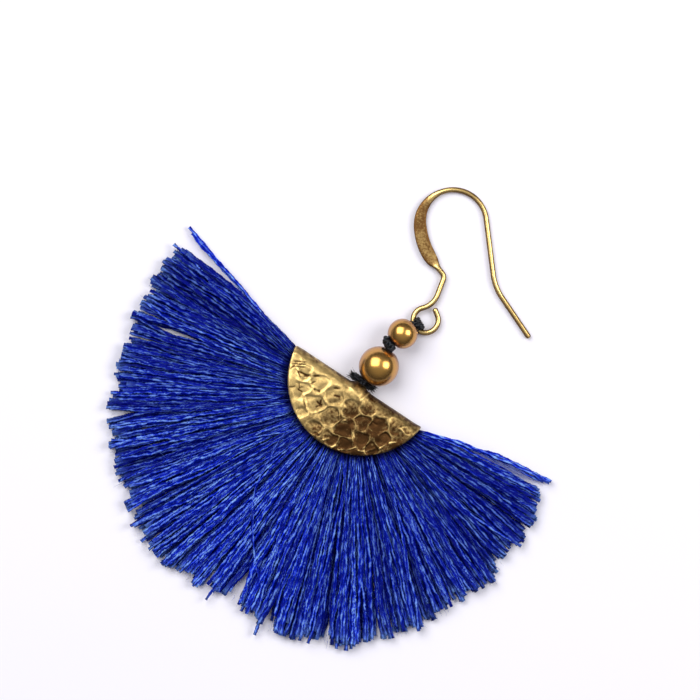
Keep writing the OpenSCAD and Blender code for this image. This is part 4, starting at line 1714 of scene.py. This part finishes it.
@dataclass(frozen=True)
class SoftBox:
    """A square light that faces the earring.

    Attributes:
        name: Name of the light.
        zenith: Angle from straight above, in degrees.
        turn: Direction that it stands in, in degrees from +X.
        size: Length of its side in metres.
        power: Its power in watts.
        spin: Turn of the square in its own plane, in degrees.
        color: Colour of its light.
    """

    name: str
    zenith: float
    turn: float
    size: float
    power: float
    spin: float
    color: tuple[float, float, float] = (1.0, 0.98, 0.98)

    def build(self, distance: float) -> bpy.types.Object:
        """Places the light.

        Args:
            distance: Distance from the earring in metres.

        Returns:
            The light.
        """
        data = bpy.data.lights.new(self.name, "AREA")
        data.shape = "SQUARE"
        data.size = self.size
        data.energy = self.power
        data.color = self.color
        light = linked(self.name, data)
        zenith, turn = math.radians(self.zenith), math.radians(self.turn)
        light.location = (distance * math.sin(zenith) * math.cos(turn),
                          distance * math.sin(zenith) * math.sin(turn), distance * math.cos(zenith))
        facing = Matrix.Rotation(turn + math.pi / 2, 3, "Z") @ Matrix.Rotation(zenith, 3, "X")
        light.rotation_euler = (facing @ Matrix.Rotation(math.radians(self.spin), 3, "Z")).to_euler()
        return light


@dataclass
class Studio:
    """Floor, light and camera.

    Attributes:
        view_centre: Point under the middle of the picture, in metres.
        view_width: Width of the picture on the floor, in metres.
        roll: Turn of the picture against +X, in degrees.
        height: Height of the camera in metres.
        sky: Brightness of the surroundings straight above and near the horizon.
        lights: The soft boxes.
        distance: Distance of the soft boxes in metres.
        floor_half: Half the length of the floor's side in metres.
    """

    view_centre: tuple[float, float] = (-0.00289, 0.00557)
    view_width: float = 0.098
    roll: float = 33.52
    height: float = 0.5
    sky: tuple[float, float] = (0.34, 0.055)
    lights: tuple[SoftBox, ...] = (
        SoftBox("window_left", zenith=34.0, turn=161.5, size=0.48, power=2.9, spin=45.0),
        SoftBox("window_right", zenith=43.0, turn=45.5, size=0.32, power=1.7, spin=-20.0))
    distance: float = 0.6
    floor_half: float = 1.2

    def world(self) -> None:
        """Pale surroundings, brighter overhead than near the horizon."""
        world = bpy.data.worlds.new("studio")
        bpy.context.scene.world = world
        world.use_nodes = True
        graph = Graph(world.node_tree)
        back = world.node_tree.nodes["Background"]
        height = graph.add("SeparateXYZ", Vector=graph.add("TexCoord").outputs["Generated"]).outputs[2]
        share = graph.spread(height, 0.16, 0.92)
        above, beside = ((v * 0.97, v * 0.96, v * 1.1, 1.0) for v in self.sky)
        graph.put(back.inputs["Color"], graph.mix(share, beside, above))
        back.inputs["Strength"].default_value = 1.0

    def floor(self, material: bpy.types.Material) -> bpy.types.Object:
        """White surface under the earring.

        Args:
            material: Its material.

        Returns:
            The floor.
        """
        half = self.floor_half
        corners = [(-half, -half, 0), (half, -half, 0), (half, half, 0), (-half, half, 0)]
        mesh = bpy.data.meshes.new("white_surface")
        mesh.from_pydata(corners, [], [(0, 1, 2, 3)])
        mesh.materials.append(material)
        surface = linked("white_surface", mesh)
        return surface

    def camera(self) -> bpy.types.Object:
        """Camera straight above, rolled as the earring lies in the photograph.

        Returns:
            The camera.
        """
        data = bpy.data.cameras.new("above")
        data.sensor_width = 36.0
        data.lens = data.sensor_width * self.height / self.view_width
        data.clip_start = 0.01
        camera = linked("above", data)
        camera.location = (*self.view_centre, self.height)
        camera.rotation_euler = (0.0, 0.0, math.radians(self.roll))
        bpy.context.scene.camera = camera
        return camera

    def build(self, material: bpy.types.Material) -> None:
        """Makes the whole stage.

        Args:
            material: Material of the floor.
        """
        scene = bpy.context.scene
        scene.view_settings.view_transform = "Standard"
        scene.view_settings.look = "None"
        self.world()
        self.floor(material)
        self.camera()
        for light in self.lights:
            light.build(self.distance)


def cap_origin() -> np.ndarray:
    """Middle of the cap's fold, worked out from the solid of the cap.

    Returns:
        The point on the floor under it, in millimetres.
    """
    low, high = node_box("cap")
    return np.array([(low[0] + high[0]) / 2, low[1] + DISC_RADIUS - FOLD_OFF, 0.0])


def main() -> None:
    """Builds every piece and reports it."""
    logging.basicConfig(level=logging.INFO, format="%(message)s")
    for build in (build_fibres, build_toning, build_hairlines):
        build()
    thread = ThreadFinish(
        "royal_blue_thread", deep=(0.0, 0.003, 0.19, 1), plain=(0.003, 0.030, 0.80, 1),
        light=(0.26, 0.49, 1.0, 1), roughness=0.38, sheen=0.0, specular=0.06, fineness=4.0, pitch=1.6,
        bump=0.00016).build()
    fibre = ThreadFinish(
        "single_blue_fibres", deep=(0.05, 0.08, 0.5, 1), plain=(0.18, 0.25, 0.95, 1),
        light=(0.56, 0.62, 1.0, 1), roughness=0.4, sheen=0.0, specular=0.1, fineness=4.0, pitch=1.6,
        bump=0.00001).build()
    cord = ThreadFinish(
        "black_waxed_cord", deep=(0.002, 0.003, 0.004, 1), plain=(0.006, 0.008, 0.012, 1),
        light=(0.028, 0.038, 0.052, 1), roughness=0.42, sheen=0.1, specular=0.4, fineness=5.0, pitch=1.5,
        bump=0.00008).build()
    cap_brass = BrassFinish(
        "stamped_antique_brass", bright=(0.96, 0.69, 0.258, 1), toned=(0.078, 0.036, 0.012, 1),
        grain=2600.0, scratch=700.0, scratch_depth=0.00002, rough=(0.36, 0.44), mottle=0.6).build()
    bead_brass = BrassFinish(
        "polished_toned_brass", bright=(0.76, 0.42, 0.10, 1), toned=(0.34, 0.18, 0.11, 1), grain=900.0,
        scratch=500.0, scratch_depth=0.0000005, rough=(0.24, 0.29), mottle=0.14, scuffs=0.02).build()
    hook_brass = BrassFinish(
        "drawn_brass_wire", bright=(0.92, 0.66, 0.24, 1), toned=(0.15, 0.072, 0.022, 1), grain=3400.0,
        scratch=900.0, scratch_depth=0.000006, rough=(0.24, 0.44), mottle=0.75, scuffs=0.12,
        wear_and_light_from=-0.06, wear_and_light_to=1.1).build()

    Studio().build(FloorFinish().build())
    origin = cap_origin()
    large = Bead("bead_large", "large_bead", bead_brass, diameter=5.6, turn=87.4, rise=6.0)
    small = Bead("bead_small", "small_bead", bead_brass, diameter=4.2, turn=77.0, rise=-6.0)
    builders = (Fan(origin, thread, fibre), Cap(origin, cap_brass), large, small,
                CordWork(origin, cord, large, small), EarHook(hook_brass))
    for builder in builders:
        made = builder.build()
        for piece in made if isinstance(made, list) else [made]:
            LOG.info("%s: %d faces", piece.name, len(piece.data.polygons))


if __name__ == "__main__":
    main()
